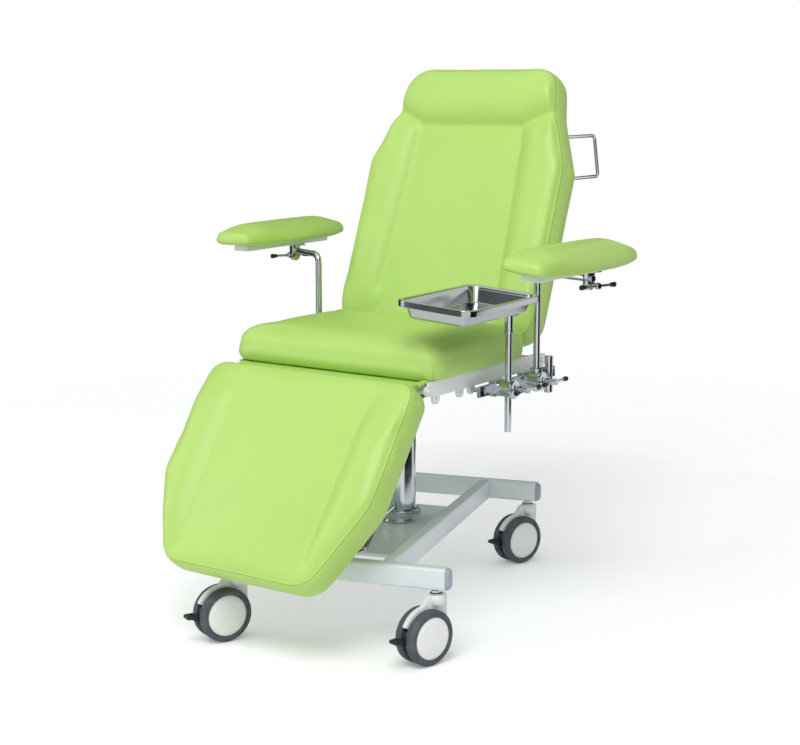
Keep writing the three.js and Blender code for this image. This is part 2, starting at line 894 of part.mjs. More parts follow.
// Brake pedal between the wheels, with a wide tread behind them
function casterPedal() {
  const near = CASTER.hubRadius + CASTER.coverGap;
  const far = CASTER.wheelRadius - CASTER.coverGap;
  const [rimFrom, rimTo] = CASTER.pedalRimDegrees.map(radians);
  const [high, low] = [radians(CASTER.pedalFromDegrees), radians(CASTER.pedalFootDegrees)];
  const z = axleZ + CASTER.pedalPivotRise;
  const end = axleY - far - CASTER.pedalReach;
  const start = axleY - CASTER.wheelRadius - CASTER.coverGap;
  const shape = new THREE.Shape();
  shape.moveTo(axleY + near * Math.cos(low), axleZ + near * Math.sin(low));
  shape.absarc(axleY, axleZ, near, low, high, true);
  shape.lineTo(axleY + coverInner * Math.cos(high), axleZ + coverInner * Math.sin(high));
  shape.absarc(axleY, axleZ, far, rimFrom, rimTo, false);
  shape.lineTo(end, z);
  shape.lineTo(end, z - CASTER.pedalThickness);
  shape.lineTo(axleY + far * Math.cos(low), axleZ + far * Math.sin(low) / 2);
  shape.closePath();
  const half = CASTER.pedalWidth / 2;
  const tread = box(-half, half, end, start, z - CASTER.pedalThickness, z + WELD_BITE);
  return joined(acrossX(shape, CASTER.webWidth, 4), tread);
}

const casterPlaces = [
  ['front_right', -1, frontBarY, 0],
  ['front_left', 1, frontBarY, 1],
  ['rear_left', 1, rearBarY, 2],
  ['rear_right', -1, rearBarY, 3],
];
for (const [place, side, y, number] of casterPlaces) {
  const caster = new THREE.Group();
  caster.position.set(side * (BASE.track / 2), y, 0);
  caster.rotation.z = -radians(CASTER.swivelDegrees[number]);
  base.add(caster);
  addPiece(caster, `caster_${place}_hood`, casterHood(), 'hood');
  addPiece(caster, `caster_${place}_wheels`, casterWheels(), 'tyre');
  addPiece(caster, `caster_${place}_brake`, casterPedal(), 'black');
}

// Seat frame and cushion

const frameTop = SEAT.bottom - SEAT_GAP;

function sidePlate(side) {
  const shape = new THREE.Shape();
  const { plateFront, rearEnd, bottom, lugRadius, lugDrop, lugY } = FRAME;
  const lugZ = bottom - lugDrop;
  shape.moveTo(LEG.hingeY, LEG.hingeZ - LEG.eyeRadius);
  shape.lineTo(plateFront, bottom);
  for (const y of [...lugY, ...RAIL.standoffY]) {
    shape.lineTo(y - lugRadius, bottom);
    shape.absarc(y, lugZ, lugRadius, Math.PI, Math.PI * 2, false);
    shape.lineTo(y + lugRadius, bottom);
  }
  shape.lineTo(rearEnd - lugRadius, bottom);
  shape.lineTo(rearEnd, bottom + lugRadius);
  shape.lineTo(rearEnd, BACK.hingeZ + lugDrop);
  shape.lineTo(BACK.hingeY + lugRadius, BACK.hingeZ + lugRadius);
  shape.lineTo(BACK.hingeY - lugRadius * 2, frameTop);
  shape.lineTo(LEG.hingeY, frameTop);
  shape.absarc(LEG.hingeY, LEG.hingeZ, LEG.eyeRadius, Math.PI / 2, Math.PI * 1.5, false);
  const plate = acrossX(shape, FRAME.plateThickness, 5);
  return moved(plate, side * sideX, 0, 0);
}

function seatFrame() {
  const inner = sideX;
  const railBottom = FRAME.bottom;
  const crossTop = railBottom + FRAME.crossHeight;
  const plates = [-1, 1].map(sidePlate);
  const crossBars = [FRAME.frontCrossY, FRAME.rearCrossY].map((y) => box(
    -inner,
    inner,
    y - FRAME.crossWidth / 2,
    y + FRAME.crossWidth / 2,
    railBottom,
    crossTop,
  ));
  const rails = [-1, 1].map((side) => box(
    side * FRAME.railX - FRAME.railWidth / 2,
    side * FRAME.railX + FRAME.railWidth / 2,
    FRAME.frontCrossY,
    FRAME.rearCrossY,
    railBottom,
    railBottom + FRAME.railHeight,
  ));
  const head = box(
    -FRAME.headHalf - FRAME.railWidth / 2,
    FRAME.headHalf + FRAME.railWidth / 2,
    -FRAME.headHalf,
    FRAME.headHalf,
    headBottom,
    railBottom + WELD_BITE,
  );
  const boss = drum(FRAME.headBossRadius, 0, 0, headBottom - FRAME.headBossHeight, headBottom + WELD_BITE, FINE_FACETS);
  const bore = drum(
    COLUMN.boreRadius,
    0,
    0,
    headBottom - FRAME.headBossHeight - CUT_OVERRUN,
    headBottom,
    FINE_FACETS,
  );
  const springEars = [
    [-SPRING.sideX, SPRING.backAnchorY],
    [SPRING.sideX, SPRING.legAnchorY],
  ].flatMap(([x, y]) => springEar(x, y));
  const hingeBores = [
    drumX(LEG.hingeRadius + RUNNING_GAP, -2 * inner, 2 * inner, LEG.hingeY, LEG.hingeZ, ROUND_FACETS),
    drumX(BACK.hingeRadius + RUNNING_GAP, -2 * inner, 2 * inner, BACK.hingeY, BACK.hingeZ, ROUND_FACETS),
  ];
  const lugBores = FRAME.lugY.map((y) => drumX(
    FRAME.lugBore,
    -2 * inner,
    2 * inner,
    y,
    FRAME.bottom - FRAME.lugDrop,
    SMALL_FACETS,
  ));
  const leverBore = drumX(
    LEVER.armRadius + RUNNING_GAP,
    leverX - 2 * LEVER.mount,
    leverX + 2 * LEVER.mount,
    LEVER.y,
    FRAME.bottom - LEVER.drop,
    SMALL_FACETS,
  );
  const solid = joined(...plates, ...crossBars, ...rails, head, boss, ...springEars, ...leverMount());
  return cut(solid, bore, ...hingeBores, ...lugBores, leverBore);
}

// Two ears and the pin on which a gas spring's tube swings
function springEar(x, y) {
  const z = FRAME.bottom - SPRING.anchorDrop;
  const half = SPRING.eyeThickness / 2 + RUNNING_GAP;
  const ears = [-1, 1].map((side) => {
    const inner = x + side * half;
    const outer = x + side * (half + SPRING.earThickness);
    return box(
      Math.min(inner, outer),
      Math.max(inner, outer),
      y - SPRING.eyeRadius,
      y + SPRING.eyeRadius,
      z - SPRING.eyeRadius,
      FRAME.bottom + WELD_BITE,
    );
  });
  const sideToRail = Math.sign(x) * (FRAME.railX - FRAME.railWidth / 2 + WELD_BITE);
  const bridge = box(
    Math.min(x - Math.sign(x) * half, sideToRail),
    Math.max(x - Math.sign(x) * half, sideToRail),
    y - SPRING.eyeRadius,
    y + SPRING.eyeRadius,
    FRAME.bottom,
    FRAME.bottom + SPRING.earThickness,
  );
  const pin = drumX(SPRING.pinRadius, x - half - WELD_BITE, x + half + WELD_BITE, y, z, SMALL_FACETS);
  return [...ears, bridge, pin];
}

// Block in which the release lever turns, on an arm between the right rail and the side plate
function leverMount() {
  const { y, mount, drop } = LEVER;
  return [
    box(leverX - mount, leverX + mount, y - mount, y + mount, FRAME.bottom - drop - mount, FRAME.bottom + WELD_BITE),
    box(-sideX, -FRAME.railX, y - mount, y + mount, FRAME.bottom, FRAME.bottom + SPRING.earThickness),
  ];
}

addPiece(chair, 'seat_frame', seatFrame(), 'paint');

// Seat cushion
function seatCushion() {
  const length = SEAT.rear - SEAT.front - SEAT.rearLean;
  const crownAt = (share, y) => SEAT.edgeHeight + SEAT.crown * (1 - share ** 2) * Math.sin(Math.PI * (y / length));
  const solid = cushion({
    stations: stationsOf(length, SEAT.edgeRadius, STATION_STEPS.seat),
    half: (y) => withCorners(SEAT.halfWidth, Math.min(y, length - y), SEAT.cornerRadius),
    panel: (y, shoulder) => shoulder * SEAT.panelShare,
    inner: (share, y) => crownAt(share * SEAT.panelShare, y),
    outer: (share, y) => crownAt(SEAT.panelShare + share * (1 - SEAT.panelShare), y),
    edgeRadius: SEAT.edgeRadius,
    tuck: SEAT.sideTuck,
    shares: PLAIN_SHARES,
  });
  const places = solid.attributes.position;
  for (let i = 0; i < places.count; i += 1) {
    const [y, z] = [places.getY(i), places.getZ(i)];
    places.setY(i, y + SEAT.rearLean * (z / SEAT.edgeHeight) * (y / length));
  }
  return moved(solid, 0, SEAT.front, SEAT.bottom);
}

addPiece(chair, 'seat_cushion', seatCushion(), 'vinyl');

// Vinyl strip that hides the leg rest's hinge, with its end rolled up
function hingeFlap() {
  const z = SEAT.bottom - SEAT_GAP - FLAP.thickness;
  const strip = box(-FLAP.halfWidth, FLAP.halfWidth, FLAP.front, FLAP.rear, z, z + FLAP.thickness);
  const bead = drumX(FLAP.beadRadius, -FLAP.halfWidth, FLAP.halfWidth, FLAP.front, z + FLAP.thickness / 2, SMALL_FACETS);
  const curl = drumX(
    FLAP.curlRadius,
    FLAP.halfWidth - FLAP.curlLength,
    FLAP.halfWidth,
    FLAP.front + FLAP.curlRadius,
    z + FLAP.thickness - FLAP.curlRadius,
    SMALL_FACETS,
  );
  return joined(strip, bead, curl);
}

addPiece(chair, 'hinge_flap', hingeFlap(), 'vinyl');

// Accessory rails
function accessoryRail(side) {
  const length = RAIL.rear - RAIL.front;
  const bar = moved(
    extruded(roundedRect(RAIL.thickness, RAIL.height, RAIL.corner), length),
    side * railX,
    RAIL.rear,
    RAIL.centreZ,
    Math.PI / 2,
  );
  const plateFace = sideX + FRAME.plateThickness / 2 + SEAT_GAP;
  const railFace = railX - RAIL.thickness / 2 + WELD_BITE;
  const standoffs = RAIL.standoffY.map((y) => drumX(
    RAIL.standoffRadius,
    side > 0 ? plateFace : -railFace,
    side > 0 ? railFace : -plateFace,
    y,
    RAIL.centreZ,
    SMALL_FACETS,
  ));
  return joined(bar, ...standoffs);
}

addPiece(chair, 'left_accessory_rail', accessoryRail(1), 'chrome');
addPiece(chair, 'right_accessory_rail', accessoryRail(-1), 'chrome');

// Back rest. Local Y runs up the back, local Z points to the patient, and the hinge lies on local X.
const back = new THREE.Group();
back.position.set(0, BACK.hingeY, BACK.hingeZ);
back.rotation.x = radians(90 - BACK.leanDegrees);
chair.add(back);
const backBoard = BACK.surfaceOffset - BACK.thickness;
const backPlane = backBoard - SEAT_GAP;

function backHalf(y) {
  const { length } = BACK;
  const toEnd = length - y;
  if (y <= shoulderAt) return withCorners(backHalfWidth, y, BACK.footCorner);
  if (y <= creaseAt) {
    const share = (y - shoulderAt) / (creaseAt - shoulderAt);
    return backHalfWidth + (neckHalfWidth - backHalfWidth) * share;
  }
  const share = (y - creaseAt) / (length - creaseAt);
  const half = neckHalfWidth + (topHalfWidth - neckHalfWidth) * share;
  return withCorners(half, toEnd, BACK.topCorner);
}

function backCushion() {
  const { length, edgeRadius, channelDepth, headRise } = BACK;
  const head = length - creaseAt;
  const headShare = (y) => (y - creaseAt) / head;
  const pillow = (y) => headRise * Math.sin(Math.PI * Math.min(Math.max(headShare(y), 0), 1));
  const crease = (y) => channelDepth * fade(Math.abs(y - creaseAt) / (edgeRadius * BACK.creaseWidthShare));
  const below = (y) => (1 - fade((creaseAt - y) / edgeRadius)) * (1 - fade(y / BACK.footFade));
  return moved(cushion({
    stations: [
      ...stationsOf(length, edgeRadius, STATION_STEPS.back),
      creaseAt - edgeRadius / 4,
      creaseAt,
      creaseAt + edgeRadius / 4,
      shoulderAt,
    ].sort((a, b) => a - b),
    half: backHalf,
    panel: (y, shoulder) => Math.min(
      BACK.panelHalfWidth + (BACK.panelNeckHalfWidth - BACK.panelHalfWidth) * Math.min(y / creaseAt, 1),
      shoulder * BACK.panelLimitShare,
    ),
    inner: (share, y) => BACK.thickness + BACK.crown * (1 - share ** 2) * below(y)
      + pillow(y) - crease(y) - channelDepth * fade((1 - share) * BACK.channelSharpness) * below(y),
    outer: (share, y) => BACK.thickness + pillow(y) - crease(y)
      + below(y) * (BACK.bolsterRise * Math.sin(Math.PI * share ** BACK.bolsterSkewShare)
        - channelDepth * fade(share * BACK.channelSharpness)),
    edgeRadius,
    tuck: BACK.sideTuck,
    shares: CHANNELLED_SHARES,
  }), 0, BACK.start, backBoard);
}

// Strap between two round ends, drawn in the local Y, Z plane
function strapAcrossX(from, to, radiusFrom, radiusTo, x0, x1) {
  const [dy, dz] = [to[0] - from[0], to[1] - from[1]];
  const reach = Math.hypot(dy, dz);
  const heading = Math.atan2(dz, dy);
  const lean = Math.acos((radiusFrom - radiusTo) / reach);
  const shape = new THREE.Shape();
  shape.absarc(0, 0, radiusFrom, lean, Math.PI * 2 - lean, false);
  shape.absarc(reach, 0, radiusTo, -lean, lean, false);
  shape.closePath();
  const plate = acrossX(shape, x1 - x0, 5);
  return moved(plate, (x0 + x1) / 2, from[0], from[1], heading);
}

function backFrame() {
  const depthFrom = backPlane - BACK.frameDepth;
  const bars = [-1, 1].map((side) => box(
    side * BACK.frameX - BACK.frameTube / 2,
    side * BACK.frameX + BACK.frameTube / 2,
    BACK.frameStart,
    backFrameEnd,
    depthFrom,
    backPlane,
  ));
  const crossBar = (y, half) => box(-half, half, y - BACK.frameTube / 2, y + BACK.frameTube / 2, depthFrom, backPlane);
  const crosses = [
    crossBar(BACK.lowCrossAt, BACK.frameX),
    crossBar(footLow, backCrossHalf),
    crossBar(footHigh, backCrossHalf),
  ];
  const rod = drumX(BACK.hingeRadius, -rodHalf, rodHalf, 0, 0, ROUND_FACETS);
  const ears = [-1, 1].map((side) => strapAcrossX(
    [0, 0],
    [BACK.frameTube, backPlane - BACK.frameDepth / 2],
    BACK.eyeRadius,
    BACK.frameDepth / 2,
    side * BACK.frameX - BACK.frameTube / 2,
    side * BACK.frameX + BACK.frameTube / 2,
  ));
  const lug = strapAcrossX(
    [0, 0],
    [-BACK.lugDown, -BACK.lugBehind],
    BACK.eyeRadius,
    SPRING.lugWidth,
    -lugFar,
    -lugNear,
  );
  return joined(...bars, ...crosses, rod, ...ears, lug);
}

const rodHalf = sideX + FRAME.plateThickness;
const lugNear = SPRING.sideX + SPRING.eyeThickness / 2 + RUNNING_GAP;
const lugFar = lugNear + SPRING.lugThickness;

// Round bar bent to a push loop, on two round feet
function pushLoop(side) {
  const z = backPlane - BACK.frameDepth - SEAT_GAP;
  const rise = Math.tan(radians(BACK.leanDegrees));
  const bar = bentBar(LOOP.radius, [
    [side * loopX, footHigh, z - LOOP.footThickness / 2],
    [side * loopX, footHigh + LOOP.reachHigh * rise, z - LOOP.reachHigh],
    [side * loopX, footLow + LOOP.reachLow * rise, z - LOOP.reachLow],
    [side * loopX, footLow, z - LOOP.footThickness / 2],
  ], LOOP.bendRadius);
  const feet = [footLow, footHigh].map((y) => drum(
    LOOP.footRadius,
    side * (loopX - LOOP.footRadius + LOOP.radius),
    y,
    z - LOOP.footThickness,
    z,
    SMALL_FACETS,
  ));
  return joined(bar, ...feet);
}

addPiece(back, 'back_frame', backFrame(), 'paint');
addPiece(back, 'back_cushion', backCushion(), 'vinyl');
addPiece(back, 'left_push_loop', pushLoop(1), 'chrome');
addPiece(back, 'right_push_loop', pushLoop(-1), 'chrome');

// Leg rest. Local -Y runs down the leg, local Z points forwards, and the hinge lies on local X.
const leg = new THREE.Group();
leg.position.set(0, LEG.hingeY, LEG.hingeZ);
leg.rotation.x = radians(LEG.slopeDegrees);
chair.add(leg);
const legBoard = LEG.surfaceOffset - LEG.thickness;
const legPlane = legBoard - SEAT_GAP;

function legHalf(y) {
  const fromKnee = LEG.length - y;
  if (fromKnee <= LEG.straightTo) return withCorners(legHalfWidth, fromKnee, LEG.kneeCorner);
  const share = (fromKnee - LEG.straightTo) / (LEG.length - LEG.straightTo);
  const half = legHalfWidth + (toeHalfWidth - legHalfWidth) * share;
  return withCorners(half, y, LEG.toeCorner);
}

function legCushion() {
  const { length, edgeRadius, channelDepth } = LEG;
  const mid = (y) => (1 - fade((length - y) / edgeRadius)) * (1 - fade(y / edgeRadius));
  return moved(cushion({
    stations: [...stationsOf(length, edgeRadius, STATION_STEPS.leg), length - LEG.straightTo].sort((a, b) => a - b),
    half: legHalf,
    panel: (y, shoulder) => Math.min(
      LEG.panelToeHalfWidth + (LEG.panelHalfWidth - LEG.panelToeHalfWidth) * (y / length),
      shoulder * LEG.panelLimitShare,
    ),
    inner: (share, y) => LEG.thickness
      + mid(y) * (LEG.crown * (1 - share ** 2) - channelDepth * fade((1 - share) * LEG.channelSharpness)),
    outer: (share, y) => LEG.thickness + mid(y) * (LEG.bolsterRise * Math.sin(Math.PI * share ** LEG.bolsterSkewShare)
      - channelDepth * fade(share * LEG.channelSharpness)),
    edgeRadius,
    tuck: LEG.sideTuck,
    shares: CHANNELLED_SHARES,
  }), 0, -LEG.start - length, legBoard);
}

function legFrame() {
  const depthFrom = legPlane - LEG.frameDepth;
  const bars = [-1, 1].map((side) => box(
    side * LEG.frameX - LEG.frameTube / 2,
    side * LEG.frameX + LEG.frameTube / 2,
    -LEG.frameEnd,
    LEG.frameStart,
    depthFrom,
    legPlane,
  ));
  const crosses = [LEG.crossAt, LEG.frameEnd - LEG.frameTube / 2].map((along) => box(
    -LEG.frameX,
    LEG.frameX,
    -along - LEG.frameTube / 2,
    -along + LEG.frameTube / 2,
    depthFrom,
    legPlane,
  ));
  const rod = drumX(LEG.hingeRadius, -rodHalf, rodHalf, 0, 0, ROUND_FACETS);
  const lug = strapAcrossX(
    [-LEG.lugAlong, depthFrom + LEG.frameDepth / 2],
    [-LEG.lugAlong, -LEG.lugBehind],
    LEG.frameDepth / 2,
    SPRING.lugWidth,
    lugNear,
    lugFar,
  );
  return joined(...bars, ...crosses, rod, lug);
}

addPiece(leg, 'leg_frame', legFrame(), 'paint');
addPiece(leg, 'leg_cushion', legCushion(), 'vinyl');

// Gas springs: the tube swings on the seat frame's pin and the rod's eye lies beside the lug that it pushes
function turnedPoint(hinge, degrees, along, out) {
  const angle = radians(degrees);
  return [
    hinge[0] + along * Math.cos(angle) - out * Math.sin(angle),
    hinge[1] + along * Math.sin(angle) + out * Math.cos(angle),
  ];
}

const springZ = FRAME.bottom - SPRING.anchorDrop;
const backLug = turnedPoint([BACK.hingeY, BACK.hingeZ], 90 - BACK.leanDegrees, -BACK.lugDown, -BACK.lugBehind);
const legLug = turnedPoint([LEG.hingeY, LEG.hingeZ], LEG.slopeDegrees, -LEG.lugAlong, -LEG.lugBehind);

// Local X runs along the spring, from the tube's eye to the rod's
function gasSpring(name, x, anchorY, target, tubeLength, inTube) {
  const [dy, dz] = [target[0] - anchorY, target[1] - springZ];
  const length = Math.hypot(dy, dz);
  const spring = new THREE.Group();
  spring.position.set(x, anchorY, springZ);
  spring.rotation.x = Math.atan2(dz, dy);
  chair.add(spring);
  const half = SPRING.eyeThickness / 2;
  const start = SPRING.eyeRadius + SPRING.neck;
  const shell = moved(lathe([
    [0, start],
    [SPRING.tubeRadius, start],
    [SPRING.tubeRadius, tubeLength],
    [SPRING.rodRadius + RUNNING_GAP, tubeLength],
    [SPRING.rodRadius + RUNNING_GAP, start + SPRING.boreFloor],
    [0, start + SPRING.boreFloor],
  ], ROUND_FACETS), 0, 0, 0, -Math.PI / 2);
  const eye = drumX(SPRING.eyeRadius, -half, half, 0, 0, ROUND_FACETS);
  const neck = drumY(half, 0, SPRING.eyeRadius / 2, start + WELD_BITE, 0, SMALL_FACETS);
  const pinBore = drumX(SPRING.pinRadius + RUNNING_GAP, -SPRING.tubeRadius, SPRING.tubeRadius, 0, 0, SMALL_FACETS);
  addPiece(spring, `${name}_gas_spring_tube`, cut(joined(shell, eye, neck), pinBore), 'black');
  const bar = drumY(SPRING.rodRadius, 0, tubeLength - inTube, length - SPRING.eyeRadius + WELD_BITE, 0, SMALL_FACETS);
  const rodEye = drumX(SPRING.eyeRadius, -half, half, length, 0, ROUND_FACETS);
  const rodBore = drumX(SPRING.pinRadius, -SPRING.tubeRadius, SPRING.tubeRadius, length, 0, SMALL_FACETS);
  addPiece(spring, `${name}_gas_spring_rod`, cut(joined(bar, rodEye), rodBore), 'chrome');
}

gasSpring('back', -SPRING.sideX, SPRING.backAnchorY, backLug, SPRING.backTube, SPRING.rodInTube[0]);
gasSpring('leg', SPRING.sideX, SPRING.legAnchorY, legLug, SPRING.legTube, SPRING.rodInTube[1]);

// Release lever of the back rest, under the right side of the seat
function releaseLever() {
  const z = FRAME.bottom - LEVER.drop;
  const bar = bentBar(LEVER.armRadius, [
    [leverX + LEVER.mount + LEVER.armRadius, LEVER.y, z],
    [leverX - LEVER.armReach, LEVER.y, z],
    [leverX - LEVER.armReach, LEVER.y - LEVER.gripLength, z],
  ], LEVER.bendRadius);
  const grip = drumY(
    LEVER.gripRadius,
    leverX - LEVER.armReach,
    LEVER.y - LEVER.gripLength - LEVER.gripRadius,
    LEVER.y - LEVER.bendRadius * 2,
    z,
    SMALL_FACETS,
  );
  return joined(bar, grip);
}

addPiece(chair, 'release_lever', releaseLever(), 'black');

// Clamps on the rails. Each is drawn around y = 0 for the left rail, and the right ones are turned by half.
const railInner = railX - RAIL.thickness / 2;
const railOuter = railX + RAIL.thickness / 2;
const railHigh = RAIL.centreZ + RAIL.height / 2;
const railLow = RAIL.centreZ - RAIL.height / 2;
const sleeveRadius = CLAMP.postRadius + CLAMP.sleeveWall;
const sleeveLow = RAIL.centreZ - CLAMP.drumRadius;
const sleeveHigh = RAIL.centreZ + CLAMP.drumRadius;

// Jaw that hooks over and under the rail, as blocks around it
function railJaw(half) {
  const inner = railInner - SEAT_GAP - CLAMP.lipThickness;
  const outer = railOuter + SEAT_GAP + CLAMP.jawWall;
  const high = railHigh + SEAT_GAP + CLAMP.lip;
  const low = railLow - SEAT_GAP - CLAMP.lip;
  const whole = box(inner, outer, -half, half, low, high);
  const slot = box(
    railInner - SEAT_GAP,
    railOuter + SEAT_GAP,
    -half - CUT_OVERRUN,
    half + CUT_OVERRUN,
    railLow - SEAT_GAP,
    railHigh + SEAT_GAP,
  );
  const mouth = box(
    inner - CUT_OVERRUN,
    railOuter - CUT_OVERRUN,
    -half - CUT_OVERRUN,
    half + CUT_OVERRUN,
    railLow + CLAMP.lip,
    railHigh - CLAMP.lip,
  );
  return cut(solidOf(whole), slot, mouth);
}

// One body of a clamp: jaw, drum with a ring at its end, and a boss for the screw beside it
function railClamp(postBore) {
  const faceX = railOuter + SEAT_GAP;
  const body = railJaw(CLAMP.jawHalf);
  const barrel = drumX(CLAMP.drumRadius, faceX + WELD_BITE, drumEnd + WELD_BITE, 0, RAIL.centreZ, ROUND_FACETS);
  const ring = drumX(CLAMP.ringRadius, drumEnd, drumEnd + CLAMP.ringLength, 0, RAIL.centreZ, ROUND_FACETS);
  const screwZ = RAIL.centreZ - CLAMP.screwRadius;
  const boss = drumX(CLAMP.bossRadius, faceX + WELD_BITE, bossEnd, CLAMP.screwOffset, screwZ, ROUND_FACETS);
  const web = box(
    faceX,
    drumEnd - CLAMP.ringLength,
    0,
    CLAMP.screwOffset,
    screwZ - CLAMP.bossRadius / 2,
    screwZ + CLAMP.bossRadius / 2,
  );
  const jawWeb = box(
    railOuter + SEAT_GAP,
    faceX + CLAMP.jawWall,
    0,
    CLAMP.screwOffset + CLAMP.bossRadius,
    screwZ - CLAMP.bossRadius,
    screwZ + CLAMP.bossRadius,
  );
  const solid = [barrel, ring, boss, web, jawWeb].map(solidOf).reduce((sum, piece) => sum.add(piece), body);
  return cut(
    solid,
    drum(postBore, postX, 0, RAIL.centreZ - 2 * CLAMP.ringRadius, RAIL.centreZ + 2 * CLAMP.ringRadius),
    drumX(
      CLAMP.screwRadius + RUNNING_GAP,
      bossEnd - CLAMP.screwIn - CUT_OVERRUN,
      bossEnd + CUT_OVERRUN,
      CLAMP.screwOffset,
      screwZ,
      SMALL_FACETS,
    ),
  );
}

// Screw with a nut and a T-shaped handle with black tips, along +X from `start` to `end`
function tHandle(start, end, y, z) {
  const screw = drumX(CLAMP.screwRadius, start, end, y, z, SMALL_FACETS);
  const nut = drumX(CLAMP.nutRadius, end - CLAMP.nutLength / 2, end + CLAMP.nutLength / 2, y, z, SMALL_FACETS);
  const bar = drumY(CLAMP.handleRadius, end, y - CLAMP.handleHalf, y + CLAMP.handleHalf, z, SMALL_FACETS);
  const tips = [-1, 1].map((side) => {
    const tip = new THREE.CylinderGeometry(
      side > 0 ? CLAMP.tipRadius : CLAMP.tipRadius * CLAMP.tipTaperShare,
      side > 0 ? CLAMP.tipRadius * CLAMP.tipTaperShare : CLAMP.tipRadius,
      CLAMP.tipLength,
      SMALL_FACETS,
    );
    return moved(tip, end, y + side * (CLAMP.handleHalf + CLAMP.tipLength / 2 - WELD_BITE), z);
  });
  return joined(screw, nut, bar, ...tips);
}

function clampHandle() {
  return tHandle(
    bossEnd - CLAMP.screwIn,
    handleX,
    CLAMP.screwOffset,
    RAIL.centreZ - CLAMP.screwRadius,
  );
}

// A group on the rail at y, drawn for the left side and turned by half for the right
function railGroup(side, y) {
  const group = new THREE.Group();
  group.position.set(0, y, 0);
  if (side < 0) group.rotation.z = Math.PI;
  chair.add(group);
  return group;
}

function postSleeve() {
  const top = sleeveHigh + CLAMP.sleeveRise;
  const shell = drum(sleeveRadius, postX, 0, sleeveLow, top);
  const collar = drum(sleeveRadius + CLAMP.collarWall, postX, 0, top - CLAMP.collarHeight, top);
  const bore = drum(CLAMP.postRadius + RUNNING_GAP, postX, 0, sleeveLow - CUT_OVERRUN, top + CUT_OVERRUN);
  return cut(joined(shell, collar), bore);
}

// Armrests
function armPost(swing, reach) {
  const end = reach + ARM.overreach;
  const points = [
    [postX, 0, sleeveLow - ARM.tail],
    [postX, 0, ARM.tubeZ],
    [postX + end * Math.cos(swing), end * Math.sin(swing), ARM.tubeZ],
  ];
  return bentBar(CLAMP.postRadius, points, ARM.bendRadius, ROUND_FACETS - 2);
}

// Local X runs along the tube that carries the bracket, and local Z stays upright
function armBracket() {
  const [half, low, high] = [ARM.bracketLength / 2, -ARM.bracketBelow, ARM.bracketHalf];
  const block = box(-half, half, -ARM.bracketHalf, ARM.bracketHalf, low, high);
  const plate = box(-ARM.plateHalf, ARM.plateHalf, -ARM.plateHalf, ARM.plateHalf, high, high + ARM.plateThickness);
  const bore = drumX(CLAMP.postRadius + RUNNING_GAP, -2 * half, 2 * half, 0, 0);
  const swivelBore = drum(
    ARM.swivelRadius + SEAT_GAP,
    0,
    0,
    high + ARM.plateThickness - ARM.swivelDepth,
    high + ARM.plateThickness + CUT_OVERRUN,
  );
  const screwBore = drumX(
    CLAMP.screwRadius + RUNNING_GAP,
    half - CLAMP.jawWall,
    half + CUT_OVERRUN,
    0,
    -ARM.bracketBelow,
    SMALL_FACETS,
  );
  const boss = drumX(CLAMP.bossRadius, -half, half, 0, -ARM.bracketBelow, ROUND_FACETS);
  return cut(joined(block, plate, boss), bore, swivelBore, screwBore);
}

function tiltHandle() {
  const half = ARM.bracketLength / 2;
  return tHandle(half - CLAMP.jawWall + SEAT_GAP, half + ARM.handleDrop, 0, -ARM.bracketBelow);
}

// The pad's rail and cushion, with local Y along the pad and z = 0 at the rail's underside
function padRail(offset) {
  const section = new THREE.Shape();
  const [half, height, wall] = [ARM.railWidth / 2, ARM.railHeight, ARM.railWall];
  section.moveTo(-half, 0);
  section.lineTo(half, 0);
  section.lineTo(half, height);
  section.lineTo(half - wall, height);
  section.lineTo(half - wall, wall);
  section.lineTo(wall - half, wall);
  section.lineTo(wall - half, height);
  section.lineTo(-half, height);
  section.closePath();
  const channel = moved(extruded(section, ARM.railLength), 0, offset + ARM.railLength / 2, 0, Math.PI / 2);
  const pin = drum(ARM.swivelRadius, 0, 0, SEAT_GAP - ARM.swivelDepth, WELD_BITE);
  const block = box(-half + wall / 2, half - wall / 2, -ARM.plateHalf, ARM.plateHalf, wall / 2, height - wall);
  return joined(channel, pin, block);
}

function armPad(offset) {
  const length = ARM.padLength;
  const rise = (share, y) => ARM.padEdge + ARM.padCrown * (1 - share ** 2) * Math.sin(Math.PI * (y / length));
  const bow = (y) => Math.abs(2 * (y / length) - 1) ** 3;
  return moved(cushion({
    stations: stationsOf(length, ARM.padEdgeRadius, STATION_STEPS.pad),
    half: (y) => withCorners(
      (ARM.padWidth / 2) * (1 - ARM.padTaperShare * bow(y)),
      Math.min(y, length - y),
      ARM.padCorner,
    ),
    panel: (y, shoulder) => shoulder * SEAT.panelShare,
    inner: (share, y) => rise(share * SEAT.panelShare, y),
    outer: (share, y) => rise(SEAT.panelShare + share * (1 - SEAT.panelShare), y),
    edgeRadius: ARM.padEdgeRadius,
    tuck: ARM.padTuck,
    shares: PLAIN_SHARES,
  }), 0, offset - length / 2, 0);
}

